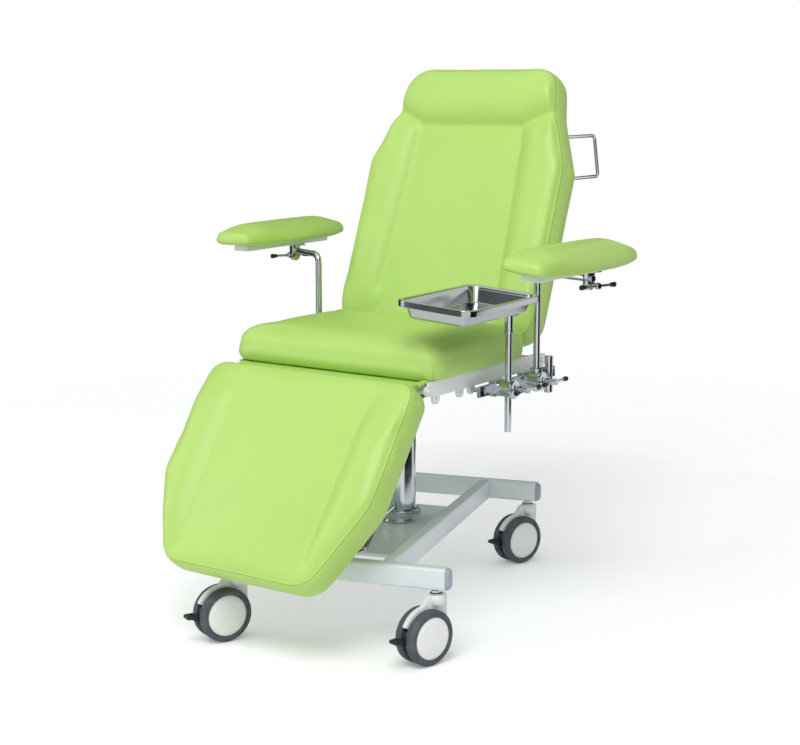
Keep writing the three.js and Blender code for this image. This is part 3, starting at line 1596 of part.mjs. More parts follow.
function addArmrest(name, side, number) {
  const y = CLAMP.armY[number];
  const group = railGroup(side, y);
  const swing = side * radians(ARM.swingDegrees[number]);
  const reach = ARM.reach[number];
  addPiece(group, `${name}_rail_clamp`, railClamp(sleeveRadius + RUNNING_GAP), 'chrome');
  addPiece(group, `${name}_post_sleeve`, postSleeve(), 'chrome');
  addPiece(group, `${name}_arm_post`, armPost(swing, reach), 'chrome');
  addPiece(group, `${name}_clamp_handle`, clampHandle(), 'chrome');
  const bracket = new THREE.Group();
  bracket.position.set(postX + reach * Math.cos(swing), reach * Math.sin(swing), ARM.tubeZ);
  bracket.rotation.z = swing;
  group.add(bracket);
  addPiece(bracket, `${name}_arm_bracket`, armBracket(), 'chrome');
  addPiece(bracket, `${name}_tilt_handle`, tiltHandle(), 'chrome');
  const pad = new THREE.Group();
  pad.position.z = ARM.bracketHalf + ARM.plateThickness + SEAT_GAP;
  pad.rotation.z = radians(ARM.padYawDegrees[number]) - swing;
  bracket.add(pad);
  const front = -side * ARM.padOffset[number];
  addPiece(pad, `${name}_pad_rail`, padRail(front), 'paint');
  const cushionGroup = new THREE.Group();
  cushionGroup.position.z = ARM.railHeight + SEAT_GAP;
  pad.add(cushionGroup);
  addPiece(cushionGroup, `${name}_arm_pad`, armPad(front), 'vinyl');
}

// The patient's left is +X, which the photograph shows on the right
addArmrest('left', 1, 1);
addArmrest('right', -1, 0);

// Tray, its post and its clamp on the left rail
function rectRing(halfX, halfY, corner, z) {
  const ring = [];
  for (const [sx, sy, from] of [[1, -1, -90], [1, 1, 0], [-1, 1, 90], [-1, -1, 180]]) {
    for (let i = 0; i <= CORNER_STEPS; i += 1) {
      const angle = radians(from + (90 * i) / CORNER_STEPS);
      const x = sx * (halfX - corner) + corner * Math.cos(angle);
      const y = sy * (halfY - corner) + corner * Math.sin(angle);
      ring.push([x, y, z]);
    }
  }
  return ring;
}

function trayShell() {
  const { depth, wall, corner, draft, rimWidth, rimHeight } = TRAY;
  const halfX = TRAY.width / 2;
  const halfY = TRAY.length / 2;
  const body = (inset, low, high) => lofted([
    rectRing(halfX - rimWidth - draft - inset - wall, halfY - rimWidth - draft - inset - wall, corner - draft, low),
    rectRing(halfX - rimWidth - draft - inset, halfY - rimWidth - draft - inset, corner - draft, low + wall),
    rectRing(halfX - rimWidth - inset, halfY - rimWidth - inset, corner - rimWidth, high),
  ]);
  const rim = lofted([
    rectRing(halfX, halfY, corner, depth - rimHeight),
    rectRing(halfX, halfY, corner, depth - wall),
    rectRing(halfX - wall / 2, halfY - wall / 2, corner - wall / 2, depth),
  ]);
  const under = lofted([
    rectRing(halfX - wall, halfY - wall, corner - wall, depth - rimHeight - CUT_OVERRUN),
    rectRing(halfX - wall, halfY - wall, corner - wall, depth - wall),
  ]);
  const outside = solidOf(rim).subtract(solidOf(under)).add(solidOf(body(0, 0, depth)));
  return outside.subtract(solidOf(body(wall, wall, depth + CUT_OVERRUN)));
}

const trayPostTop = TRAY.rimZ - TRAY.depth - TRAY.socketLength;
const traySkirtLow = trayPostTop - TRAY.socketLength;

function tray() {
  const tilt = radians(TRAY.tiltDegrees);
  const yaw = radians(TRAY.yawDegrees);
  const floorZ = TRAY.rimZ - TRAY.depth;
  const [dx, dy] = [trayX - postX, TRAY.centreY - CLAMP.trayY];
  const shell = moved(geometryOf(trayShell()), dx, dy, floorZ, 0, tilt, yaw);
  const floorAtPost = floorZ + dx * Math.tan(tilt);
  const plate = moved(
    drum(TRAY.flangeRadius, 0, 0, -TRAY.flangeThickness, TRAY.wall / 2),
    0,
    0,
    floorAtPost,
    0,
    tilt,
    yaw,
  );
  const socket = drum(TRAY.socketRadius, 0, 0, traySkirtLow, floorAtPost);
  const bore = drum(CLAMP.postRadius + RUNNING_GAP, 0, 0, traySkirtLow - CUT_OVERRUN, trayPostTop + SEAT_GAP);
  return cut(joined(shell, plate, socket), bore);
}

function trayPost() {
  const post = drum(CLAMP.postRadius, postX, 0, sleeveLow - TRAY.postTail, trayPostTop);
  const collarTop = traySkirtLow - SEAT_GAP;
  const collar = drum(TRAY.collarRadius, postX, 0, collarTop - CLAMP.sleeveRise, collarTop);
  return joined(post, collar);
}

const trayGroup = railGroup(1, CLAMP.trayY);
addPiece(trayGroup, 'tray_rail_clamp', railClamp(CLAMP.postRadius + RUNNING_GAP), 'chrome');
addPiece(trayGroup, 'tray_clamp_handle', clampHandle(), 'chrome');
addPiece(trayGroup, 'tray_post', trayPost(), 'chrome');
const traySwing = new THREE.Group();
traySwing.position.x = postX;
trayGroup.add(traySwing);
addPiece(traySwing, 'tray', tray(), 'steel');

// Socket for an infusion pole, on the left rail
function poleSocket() {
  const jawFace = railOuter + SEAT_GAP + CLAMP.jawWall;
  const tube = drum(SOCKET.outerRadius, socketX, 0, SOCKET.bottom, SOCKET.top, ROUND_FACETS);
  const web = box(
    jawFace - WELD_BITE,
    socketX,
    -SOCKET.boreRadius,
    SOCKET.boreRadius,
    RAIL.centreZ - SOCKET.outerRadius,
    RAIL.centreZ + SOCKET.outerRadius,
  );
  const bore = drum(
    SOCKET.boreRadius,
    socketX,
    0,
    SOCKET.bottom + SOCKET.floor,
    SOCKET.top + CUT_OVERRUN,
    ROUND_FACETS,
  );
  return cut(railJaw(SOCKET.jawHalf).add(solidOf(tube)).add(solidOf(web)), bore);
}

addPiece(railGroup(1, SOCKET.y), 'pole_socket', poleSocket(), 'chrome');

// The middle of the chair's outline goes to the Z axis, with the wheels on z = 0
chair.updateMatrixWorld(true);
const outline = new THREE.Box3().setFromObject(chair, true);
const middle = outline.getCenter(new THREE.Vector3());
chair.position.set(-middle.x, -middle.y, -outline.min.z);

export default chair;
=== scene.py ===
"""Dressed scene of a patient recliner for drawing blood.

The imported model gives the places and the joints. This script adds the padded seat, back, leg rest and
arm pads, the turned, bent and pressed metal parts, the casters, and a finish for each surface. Shapes
are worked out in the chair's own millimetres, with the column's axis at x = 0 and y = 0 and the patient
facing -Y, and are put into the shared frame in metres.
"""

import logging
import math
from dataclasses import dataclass, field
from enum import Enum
from typing import Callable

import bmesh
import bpy
import numpy as np
from mathutils import Matrix, Vector


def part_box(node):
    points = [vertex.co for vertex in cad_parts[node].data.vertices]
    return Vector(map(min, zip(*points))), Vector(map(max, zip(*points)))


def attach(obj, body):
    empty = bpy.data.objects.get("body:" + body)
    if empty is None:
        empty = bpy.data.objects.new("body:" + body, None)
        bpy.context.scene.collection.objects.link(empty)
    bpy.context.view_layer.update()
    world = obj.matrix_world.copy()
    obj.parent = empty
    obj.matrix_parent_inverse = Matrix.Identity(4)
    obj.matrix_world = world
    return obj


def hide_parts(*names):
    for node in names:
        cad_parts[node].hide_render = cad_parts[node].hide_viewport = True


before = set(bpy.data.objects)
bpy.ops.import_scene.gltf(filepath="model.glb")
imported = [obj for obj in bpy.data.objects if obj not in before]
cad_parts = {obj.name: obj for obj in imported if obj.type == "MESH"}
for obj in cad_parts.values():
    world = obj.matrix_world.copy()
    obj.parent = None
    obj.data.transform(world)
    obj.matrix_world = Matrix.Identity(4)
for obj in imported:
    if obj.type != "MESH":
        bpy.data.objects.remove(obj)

Array = np.ndarray
Section = Callable[[float], Array]

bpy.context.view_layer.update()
MILLI = 0.001
THIN = 0.01
SHARP = 34.0
log = logging.getLogger("recliner")


class Slot(Enum):
    """Names of material slots for the finishes; each piece is handed one, which nothing reads."""

    VINYL = "vinyl"
    PAINT = "grey_paint"
    CHROME = "chrome"
    STEEL = "tray_steel"
    CAP = "cap_plastic"
    HOOD = "hood_plastic"
    TYRE = "tyre_rubber"
    BLACK = "black_plastic"
    BLACK_PAINT = "black_paint"


# Places and shapes


def turn_about(axis: int, degrees: float) -> Array:
    """The matrix of a turn about X, Y or Z.

    Args:
        axis: 0, 1 or 2 for X, Y or Z.
        degrees: The angle, right-handed.

    Returns:
        A 3 by 3 matrix.
    """
    c, s = math.cos(math.radians(degrees)), math.sin(math.radians(degrees))
    matrix = np.eye(3)
    a, b = [i for i in range(3) if i != axis]
    sign = -1 if axis == 1 else 1
    matrix[a, a] = matrix[b, b] = c
    matrix[a, b], matrix[b, a] = -s * sign, s * sign
    return matrix


@dataclass(frozen=True)
class Place:
    """A turn followed by a shift, from a sub-assembly's own millimetres to the chair's."""

    turn: Array = field(default_factory=lambda: np.eye(3))
    shift: Array = field(default_factory=lambda: np.zeros(3))

    @staticmethod
    def at(x: float = 0, y: float = 0, z: float = 0, about_x: float = 0, about_y: float = 0,
           about_z: float = 0) -> "Place":
        """A place with turns in degrees about X, then Y, then Z."""
        turn = turn_about(2, about_z) @ turn_about(1, about_y) @ turn_about(0, about_x)
        return Place(turn, np.array([x, y, z], float))

    def within(self, outer: "Place") -> "Place":
        """This place as seen from outside ``outer``, in which it lies."""
        return Place(outer.turn @ self.turn, outer.turn @ self.shift + outer.shift)

    def carry(self, points: Array) -> Array:
        """Points, the last axis being x, y, z, carried to this place."""
        return points @ self.turn.T + self.shift

    def matrix(self) -> Matrix:
        """The same turn and shift for a mesh in metres, in the shared frame."""
        whole = np.eye(4)
        whole[:3, :3] = self.turn
        whole[:3, 3] = (self.shift + axis_shift()) * MILLI
        return Matrix(whole.tolist())


def axis_shift() -> Array:
    """Where the column's axis stands in the shared frame, in millimetres."""
    low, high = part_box("column_ram")
    return np.array([(low.x + high.x) / 2, (low.y + high.y) / 2, 0]) / MILLI


def disc(radius: float, steps: int = 32) -> Section:
    """A circle as a section: points at equal angles, the radius less the inset."""
    angle = np.linspace(0, 2 * np.pi, steps, endpoint=False)
    circle = np.stack([np.cos(angle), np.sin(angle)], axis=1)
    return lambda inset: circle * max(radius - inset, THIN)


def rounded_rect(width: float, height: float, radius: float, steps: int = 6) -> Section:
    """A rectangle with round corners as a section.

    Each corner is a quarter circle about a centre that lies one radius in from both sides, and the
    inset makes the radius smaller and leaves the centre where it is.

    Args:
        width: The size along the section's first axis.
        height: The size along its second axis.
        radius: The corners' radius.
        steps: Points on each corner, less one.

    Returns:
        A function of the inset that gives the points in order.
    """
    radius = min(radius, width / 2, height / 2)
    quarter = np.linspace(0, np.pi / 2, steps + 1)
    angle = np.repeat(np.arange(4) * np.pi / 2, steps + 1) + np.tile(quarter, 4)
    signs = np.repeat(np.array([[1, 1], [-1, 1], [-1, -1], [1, -1]]), steps + 1, axis=0)
    centre = signs * np.array([width / 2 - radius, height / 2 - radius])
    spokes = np.stack([np.cos(angle), np.sin(angle)], axis=1)

    def points(inset: float) -> Array:
        """The section's points at an inset."""
        left = max(radius - inset, THIN)
        over = max(inset - radius, 0)
        return centre - signs * over + spokes * left

    return points


def polygon(corners: list[tuple[float, float]]) -> Section:
    """A plain polygon as a section; the inset draws it towards its middle."""
    points = np.array(corners, float)
    middle = points.mean(axis=0)
    reach = np.abs(points - middle).max()
    return lambda inset: middle + (points - middle) * (1 - inset / reach)


def unit(vectors: Array) -> Array:
    """Vectors divided by their lengths."""
    return vectors / np.linalg.norm(vectors, axis=-1, keepdims=True)


def prism(section: Section, path: Array, up: tuple[float, float, float], edge: float = 1.0,
          edge_steps: int = 3) -> Array:
    """A section carried along a path, with its two ends rounded over.

    At each end the section starts at an inset of ``edge`` and grows along a quarter circle to its full
    size. A point is the path's point plus the section's first number times the side vector, which is
    up crossed with the heading, plus its second number times the heading crossed with the side.

    Args:
        section: The section's points at an inset.
        path: Points along the middle, (n, 3).
        up: A direction that is never along the path.
        edge: The radius of the ends' rounding.
        edge_steps: Steps of that rounding.

    Returns:
        A grid of points, (stations, around, 3).
    """
    steps = np.diff(path, axis=0)
    headings = unit(np.concatenate([steps[:1], steps[:-1] + steps[1:], steps[-1:]]))
    phi = np.linspace(0, np.pi / 2, edge_steps + 1)
    along, inset = edge * (1 - np.cos(phi)), edge * (1 - np.sin(phi))
    middle = np.concatenate([
        path[0] + along[:, None] * headings[0], path[1:-1], path[-1] - along[::-1, None] * headings[-1]])
    insets = np.concatenate([inset, np.zeros(len(path) - 2), inset[::-1]])
    ahead = np.concatenate([
        np.repeat(headings[:1], len(phi), 0), headings[1:-1], np.repeat(headings[-1:], len(phi), 0)])
    side = unit(np.cross(np.array(up, float), ahead))
    over = np.cross(ahead, side)
    rings = np.stack([section(value) for value in insets])
    return middle[:, None] + rings[..., :1] * side[:, None] + rings[..., 1:] * over[:, None]


def bar(section: Section, start: tuple, end: tuple, up: tuple = (0, 0, 1), edge: float = 1.0) -> Array:
    """A straight prism from start to end."""
    return prism(section, np.array([start, end], float), up, edge)


def route(corners: list[tuple[float, float, float]], bend: float, steps: int = 12) -> Array:
    """Straight runs through corners that are rounded by quadratic curves.

    Each corner is replaced by the curve whose ends lie ``bend`` before and after it and whose middle
    control point is the corner: (1-t)^2 a + 2t(1-t) b + t^2 c.

    Args:
        corners: The corners, the two ends among them.
        bend: How far before and after a corner its curve starts and ends.
        steps: Steps along each curve.

    Returns:
        Points along the route, (n, 3).
    """
    points = np.array(corners, float)
    t = np.linspace(0, 1, steps + 1)[:, None]
    parts = [points[:1]]
    for before, corner, after in zip(points[:-2], points[1:-1], points[2:]):
        a, c = corner - bend * unit(corner - before), corner + bend * unit(after - corner)
        parts.append((1 - t) ** 2 * a + 2 * t * (1 - t) * corner + t ** 2 * c)
    return np.concatenate([*parts, points[-1:]])


def soften(corners: list[tuple[float, float]], radius: float, steps: int = 4) -> Array:
    """A profile whose inner corners are rounded by quadratic curves.

    Args:
        corners: The profile's corners as pairs.
        radius: How far from a corner its rounding starts, at most 0.45 of the run beside it.
        steps: Steps along each rounding.

    Returns:
        The rounded profile, (n, 2).
    """
    points = np.array(corners, float)
    t = np.linspace(0, 1, steps + 1)[:, None]
    parts = [points[:1]]
    for before, corner, after in zip(points[:-2], points[1:-1], points[2:]):
        to_before, to_after = np.linalg.norm(corner - before), np.linalg.norm(after - corner)
        near, far = min(radius, 0.45 * to_before), min(radius, 0.45 * to_after)
        a, c = corner + (before - corner) * near / to_before, corner + (after - corner) * far / to_after
        parts.append((1 - t) ** 2 * a + 2 * t * (1 - t) * corner + t ** 2 * c)
    return np.concatenate([*parts, points[-1:]])


def turned(profile: Array, steps: int = 48) -> Array:
    """A profile of radius and height turned about Z: x = r cos a, y = r sin a, z = height."""
    angle = np.linspace(0, 2 * np.pi, steps, endpoint=False)
    r, z = profile[:, :1], profile[:, 1:]
    return np.stack([r * np.cos(angle), r * np.sin(angle), np.repeat(z, steps, 1)], axis=-1)


def band(index: Array) -> Array:
    """The four-sided faces of a grid of point numbers that closes around its second axis."""
    following = np.roll(index, -1, axis=1)
    return np.stack([index[:-1], following[:-1], following[1:], index[1:]], axis=-1).reshape(-1, 4)


def weld(mesh: bpy.types.Mesh, distance: float) -> None:
    """Merges points that lie within a distance in metres, and turns all faces outwards."""
    work = bmesh.new()
    work.from_mesh(mesh)
    bmesh.ops.remove_doubles(work, verts=work.verts, dist=distance)
    bmesh.ops.recalc_face_normals(work, faces=work.faces)
    work.to_mesh(mesh)
    work.free()


def stand(name: str, data: bpy.types.ID) -> bpy.types.Object:
    """A new object with these data, linked to the scene."""
    item = bpy.data.objects.new(name, data)
    bpy.context.scene.collection.objects.link(item)
    return item


class Shell:
    """Closed grids of points in the chair's millimetres, gathered into one mesh object."""

    def __init__(self, name: str) -> None:
        """Starts an empty shell with the name its object gets."""
        self.name = name
        self.points: list[Array] = []
        self.faces: list[list[int]] = []
        self.count = 0

    def add(self, grid: Array, place: Place = Place(), capped: bool = True) -> "Shell":
        """Adds a grid that closes around its second axis.

        Args:
            grid: Points, (stations, around, 3).
            place: Where the grid goes.
            capped: Whether the first and the last ring are closed by one face each.

        Returns:
            This shell.
        """
        rows, around = grid.shape[:2]
        index = np.arange(rows * around).reshape(rows, around) + self.count
        self.faces += band(index).tolist()
        if capped:
            self.faces += [index[0][::-1].tolist(), index[-1].tolist()]
        self.points.append(place.carry(grid).reshape(-1, 3))
        self.count += rows * around
        return self

    def build(self, sharp: float = SHARP) -> bpy.types.Object:
        """Makes the object, with its faces outwards and edges sharper than ``sharp`` degrees kept.

        Args:
            sharp: The angle between two faces above which their edge isn't smooth.

        Returns:
            The object, at the origin, in metres in the shared frame.
        """
        mesh = bpy.data.meshes.new(self.name)
        places = (np.concatenate(self.points) + axis_shift()) * MILLI
        mesh.from_pydata(places.tolist(), [], self.faces)
        weld(mesh, 1e-6)
        mesh.shade_smooth()
        mesh.set_sharp_from_angle(angle=math.radians(sharp))
        return stand(self.name, mesh)


# Finishes


class Value:
    """A shader socket with arithmetic: each operator adds its Math node."""

    def __init__(self, nodes: "Nodes", socket: bpy.types.NodeSocket) -> None:
        """Wraps one output socket of a material's nodes."""
        self.nodes = nodes
        self.socket = socket

    def _math(self, operation: str, *values: "Value | float", clamp: bool = False) -> "Value":
        """The result of one Math node."""
        settings = {"operation": operation, "use_clamp": clamp}
        return self.nodes.add("ShaderNodeMath", settings, dict(enumerate(values)))

    def __add__(self, other: "Value | float") -> "Value":
        """self + other."""
        return self._math("ADD", self, other)

    def __radd__(self, other: float) -> "Value":
        """other + self."""
        return self._math("ADD", other, self)

    def __sub__(self, other: "Value | float") -> "Value":
        """self - other."""
        return self._math("SUBTRACT", self, other)

    def __rsub__(self, other: float) -> "Value":
        """other - self."""
        return self._math("SUBTRACT", other, self)

    def __mul__(self, other: "Value | float") -> "Value":
        """self * other."""
        return self._math("MULTIPLY", self, other)

    def __rmul__(self, other: float) -> "Value":
        """other * self."""
        return self._math("MULTIPLY", other, self)

    def __truediv__(self, other: "Value | float") -> "Value":
        """self / other."""
        return self._math("DIVIDE", self, other)

    def exp(self) -> "Value":
        """e to the power of the value."""
        return self._math("EXPONENT", self)

    def sin(self) -> "Value":
        """The sine of the value."""
        return self._math("SINE", self)

    def clamped(self) -> "Value":
        """The value held between 0 and 1."""
        return self._math("ADD", self, 0.0, clamp=True)

    def ramp(self, low: float, high: float) -> "Value":
        """0 at ``low`` and 1 at ``high``, held outside them."""
        return ((self - low) / (high - low)).clamped()


class Nodes:
    """The nodes of one material, with a method that makes any of them."""

    def __init__(self, name: str) -> None:
        """Starts a material with a Principled shader and its output."""
        self.material = bpy.data.materials.new(name)
        self.material.use_nodes = True
        self.tree = self.material.node_tree
        self.shader = self.tree.nodes["Principled BSDF"]
        self.output = self.tree.nodes["Material Output"]

    def add(self, kind: str, settings: dict | None = None, inputs: dict | None = None,
            output: int | str = 0) -> Value:
        """Makes a node.

        Args:
            kind: The node's type.
            settings: Its settings, set before its sockets.
            inputs: Values or links of its sockets, by name or number.
            output: The socket that is returned.

        Returns:
            The wrapped output socket.
        """
        node = self.tree.nodes.new(kind)
        for key, value in (settings or {}).items():
            setattr(node, key, value)
        for key, value in (inputs or {}).items():
            self.feed(node.inputs[key], value)
        return Value(self, node.outputs[output])

    def feed(self, socket: bpy.types.NodeSocket, value: "Value | float | tuple") -> None:
        """Links or sets one socket."""
        if isinstance(value, Value):
            self.tree.links.new(value.socket, socket)
        else:
            socket.default_value = value

    def place(self) -> Value:
        """Object coordinates, which stay with the piece."""
        return self.add("ShaderNodeTexCoord", output="Object")

    def parts_of(self, vector: Value) -> list[Value]:
        """A vector's three numbers."""
        node = self.tree.nodes.new("ShaderNodeSeparateXYZ")
        self.feed(node.inputs[0], vector)
        return [Value(self, socket) for socket in node.outputs]

    def noise(self, vector: Value, scale: float, detail: float = 2.0, rough: float = 0.5) -> Value:
        """Noise from 0 to 1, ``scale`` to the metre."""
        return self.add("ShaderNodeTexNoise", {"noise_dimensions": "3D"},
                        {"Vector": vector, "Scale": scale, "Detail": detail, "Roughness": rough})

    def cells(self, vector: Value, scale: float, feature: str = "F1") -> Value:
        """Distance to the nearest cell's middle, or to its edge, ``scale`` cells to the metre."""
        return self.add("ShaderNodeTexVoronoi", {"feature": feature}, {"Vector": vector, "Scale": scale})

    def stretched(self, vector: Value, scale: tuple[float, float, float]) -> Value:
        """Coordinates stretched along the axes by a Mapping node."""
        return self.add("ShaderNodeMapping", {}, {"Vector": vector, "Scale": scale})

    def attribute(self, name: str) -> Value:
        """A number that the piece's mesh carries at each point."""
        return self.add("ShaderNodeAttribute", {"attribute_name": name}, output="Fac")

    def blend(self, share: Value | float, first: tuple | Value, second: tuple | Value) -> Value:
        """A colour between two, by a Mix node."""
        node = self.tree.nodes.new("ShaderNodeMix")
        node.data_type = "RGBA"
        self.feed(node.inputs[0], share)
        self.feed(node.inputs[6], first)
        self.feed(node.inputs[7], second)
        return Value(self, node.outputs[2])

    def bump(self, height: Value, distance: float, strength: float = 1.0) -> None:
        """Feeds a height in lengths of ``distance`` metres to the shader's normal."""
        bump = self.add("ShaderNodeBump", {}, {
            "Height": height, "Distance": distance, "Strength": strength}, output="Normal")
        self.feed(self.shader.inputs["Normal"], bump)

    def set(self, **values: "Value | float | tuple") -> None:
        """Sets or links the Principled shader's sockets; an underscore stands for a space."""
        for key, value in values.items():
            self.feed(self.shader.inputs[key.replace("_", " ")], value)


def tint(red: int, green: int, blue: int, lighter: float = 1.0) -> tuple[float, float, float, float]:
    """A display colour from 0 to 255 as linear light, times ``lighter``."""
    share = np.array([red, green, blue]) / 255
    linear = np.where(share <= 0.04045, share / 12.92, ((share + 0.055) / 1.055) ** 2.4) * lighter
    return (*np.minimum(linear, 1).tolist(), 1.0)


@dataclass(frozen=True)
class Vinyl:
    """Smooth coated fabric over foam: fine grain, sewn seams with a painted highlight on their lip and painted
    shade in their groove, and a soft sheen.
    """

    name: str = "vinyl_lime"
    colour: tuple[int, int, int] = (174, 211, 103)
    grain: float = 900.0
    roughness: float = 0.46
    seamed: bool = True

    def material(self) -> bpy.types.Material:
        """The material: cells as the grain's pebbles, wide noise as the skin's unevenness and wear."""
        n = Nodes(self.name)
        place = n.place()
        wide = n.noise(place, 7.0, 3.0)
        pebbles = n.cells(place, self.grain, "SMOOTH_F1")
        pores = n.noise(place, self.grain * 2.2, 2.0)
        height = pebbles * 0.55 + pores * 0.2
        seam = None
        if self.seamed:
            gap = n.attribute("seam")
            seam = (0 - (gap + 0.0012) * (gap + 0.0012) / 0.9e-6).exp()
            # The lip is a ridge in the bump and also the mask of a painted highlight.
            lip_and_highlight = (0 - (gap - 0.0012) * (gap - 0.0012) / 2.4e-6).exp()
            stitch = (n.attribute("along") * (2 * math.pi / 0.0052)).sin().ramp(-0.2, 0.35)
            thread = (0 - (gap - 0.0044) * (gap - 0.0044) / 0.4e-6).exp() * stitch
            height = height * 0.12 + lip_and_highlight * 0.9 - seam * 1.1 - thread * 0.2
        dark, light = tint(*self.colour, 0.955), tint(*self.colour, 1.035)
        colour = n.blend(wide, dark, light)
        if seam is not None:
            # Painted light: the seam's raised lip is lightened as a painted highlight, and its groove is darkened
            # as painted shade.
            colour = n.blend((lip_and_highlight * 0.5).clamped(), colour, tint(*self.colour, 1.3))
            colour = n.blend((seam * 0.4).clamped(), colour, tint(*self.colour, 0.6))
            n.bump(height, 0.001, 0.8)
        else:
            n.bump(height, 0.00013, 0.8)
        n.set(Base_Color=colour, Roughness=self.roughness + (wide - 0.5) * 0.12 + pores * 0.06,
              Specular_IOR_Level=0.5, Coat_Weight=0.3, Coat_Roughness=0.4)
        return n.material


@dataclass(frozen=True)
class Paint:
    """Powder coat: a fine orange-peel skin, slightly uneven in tone and gloss."""

    name: str
    colour: tuple[int, int, int]
    roughness: float = 0.36
    peel: float = 420.0
    depth: float = 0.00012

    def material(self) -> bpy.types.Material:
        """The material: two sizes of noise as the skin, and faint dust where the noise is low."""
        n = Nodes(self.name)
        place = n.place()
        peel = n.noise(place, self.peel, 2.0)
        wide = n.noise(place, 9.0, 4.0, 0.6)
        specks = n.noise(place, 2600.0, 1.0)
        n.bump(peel * 0.8 + specks * 0.2, self.depth, 0.6)
        colour = n.blend(wide, tint(*self.colour, 0.95), tint(*self.colour, 1.04))
        n.set(Base_Color=colour, Roughness=self.roughness + (wide - 0.5) * 0.14 + (specks - 0.5) * 0.05,
              Specular_IOR_Level=0.5, Coat_Weight=0.25, Coat_Roughness=0.22)
        return n.material


@dataclass(frozen=True)
class Chrome:
    """Bright plating with hairline polishing marks and faint smears."""

    name: str = "chrome_bright"
    colour: tuple[int, int, int] = (200, 205, 211)
    roughness: float = 0.07

    def material(self) -> bpy.types.Material:
        """The material: stretched noise as hairlines, wide noise as smears in the gloss."""
        n = Nodes(self.name)
        place = n.place()
        lines = n.noise(n.stretched(place, (1.0, 1.0, 0.06)), 1500.0, 2.0)
        smears = n.noise(place, 22.0, 3.0)
        n.bump(lines, 0.00002, 0.25)
        n.set(Base_Color=n.blend(smears, tint(*self.colour, 0.93), tint(*self.colour, 1.0)), Metallic=1.0,
              Roughness=self.roughness + smears.ramp(0.35, 0.8) * 0.07 + lines * 0.02)
        return n.material


@dataclass(frozen=True)
class BrushedSteel:
    """Stainless sheet with a fine drawn grain and smoother rubbed patches."""

    name: str = "steel_pressed"
    colour: tuple[int, int, int] = (180, 184, 186)
    roughness: float = 0.14

    def material(self) -> bpy.types.Material:
        """The material: noise stretched along the sheet as its grain."""
        n = Nodes(self.name)
        place = n.place()
        grain = n.noise(n.stretched(place, (1.0, 0.03, 1.0)), 1900.0, 3.0, 0.6)
        patches = n.noise(place, 16.0, 3.0)
        n.bump(grain, 0.00004, 0.3)
        n.set(Base_Color=n.blend(patches, tint(*self.colour, 0.92), tint(*self.colour, 1.03)), Metallic=1.0,
              Roughness=self.roughness + (grain - 0.5) * 0.12 + (patches - 0.5) * 0.1)
        return n.material


@dataclass(frozen=True)
class Plastic:
    """Moulded plastic with a spark-eroded grain."""

    name: str
    colour: tuple[int, int, int]
    roughness: float = 0.42
    grain: float = 1400.0
    depth: float = 0.00008

    def material(self) -> bpy.types.Material:
        """The material: fine cells as the grain and wide noise as handling marks."""
        n = Nodes(self.name)
        place = n.place()
        grain = n.cells(place, self.grain)
        marks = n.noise(place, 30.0, 4.0, 0.6)
        n.bump(grain, self.depth, 0.5)
        n.set(Base_Color=n.blend(marks, tint(*self.colour, 0.94), tint(*self.colour, 1.05)),
              Roughness=self.roughness + (marks - 0.5) * 0.16 + grain * 0.05, Specular_IOR_Level=0.45)
        return n.material


@dataclass(frozen=True)
class Rubber:
    """Tread rubber, matt, with dust worked into it."""

    name: str = "rubber_slate"
    colour: tuple[int, int, int] = (74, 82, 90)
    dust: tuple[int, int, int] = (118, 122, 124)

    def material(self) -> bpy.types.Material:
        """The material: noise as the dust's patches and as pores in the bump."""
        n = Nodes(self.name)
        place = n.place()
        patches = n.noise(place, 45.0, 5.0, 0.65)
        pores = n.noise(place, 2100.0, 2.0)
        n.bump(pores, 0.00012, 0.6)
        n.set(Base_Color=n.blend(patches.ramp(0.45, 0.8) * 0.5, tint(*self.colour), tint(*self.dust)),
              Roughness=0.62 + patches * 0.18, Specular_IOR_Level=0.35)
        return n.material


class Finishes:
    """One material for each finish, made once and shared."""

    def __init__(self) -> None:
        """Makes the materials."""
        self.vinyl = Vinyl().material()
        self.flap = Vinyl(name="vinyl_strip", seamed=False).material()
        self.paint = Paint("paint_pale_grey", (220, 228, 231)).material()
        # Painted light: a lighter copy of the grey paint for the frames under the seat, which lightens them against
        # the seat's shade.
        self.lightened_frame_paint = Paint("paint_grey_lightened", (232, 235, 234)).material()
        self.chrome = Chrome().material()
        self.steel = BrushedSteel().material()
        self.cap = Plastic("plastic_blue_grey", (158, 166, 178)).material()
        self.hood = Plastic("plastic_pale", (228, 230, 227), 0.36).material()
        self.disc = Plastic("plastic_white", (236, 237, 233), 0.32).material()
        self.rubber = Rubber().material()
        self.black = Plastic("plastic_black", (30, 33, 35), 0.38).material()
        self.black_paint = Paint("paint_black", (26, 28, 30), 0.3).material()


class Workshop:
    """What all sub-assemblies share: the finishes, and how a piece joins the frame."""

    def __init__(self) -> None:
        """Makes the finishes."""
        self.finish = Finishes()

    def fit(self, piece: bpy.types.Object, body: str, slot: Slot, material: bpy.types.Material,
            *nodes: str) -> bpy.types.Object:
        """Dresses a piece and lets it ride on a body.

        Args:
            piece: The new piece.
            body: The CAD body that it moves with.
            slot: The slot of its finish; not used.
            material: Its material.
            *nodes: The CAD nodes that it stands for.

        Returns:
            The piece.
        """
        piece.data.materials.clear()
        piece.data.materials.append(material)
        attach(piece, body)
        if nodes:
            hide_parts(*nodes)
        log.info("%s rides on %s", piece.name, body)
        return piece

    def dress(self, node: str, material: bpy.types.Material) -> None:
        """Gives a CAD node that stays its material."""
        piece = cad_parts[node]
        if piece.material_slots:
            piece.material_slots[0].material = material
        else:
            piece.data.materials.append(material)
        log.info("%s keeps its shape", node)


# Studio


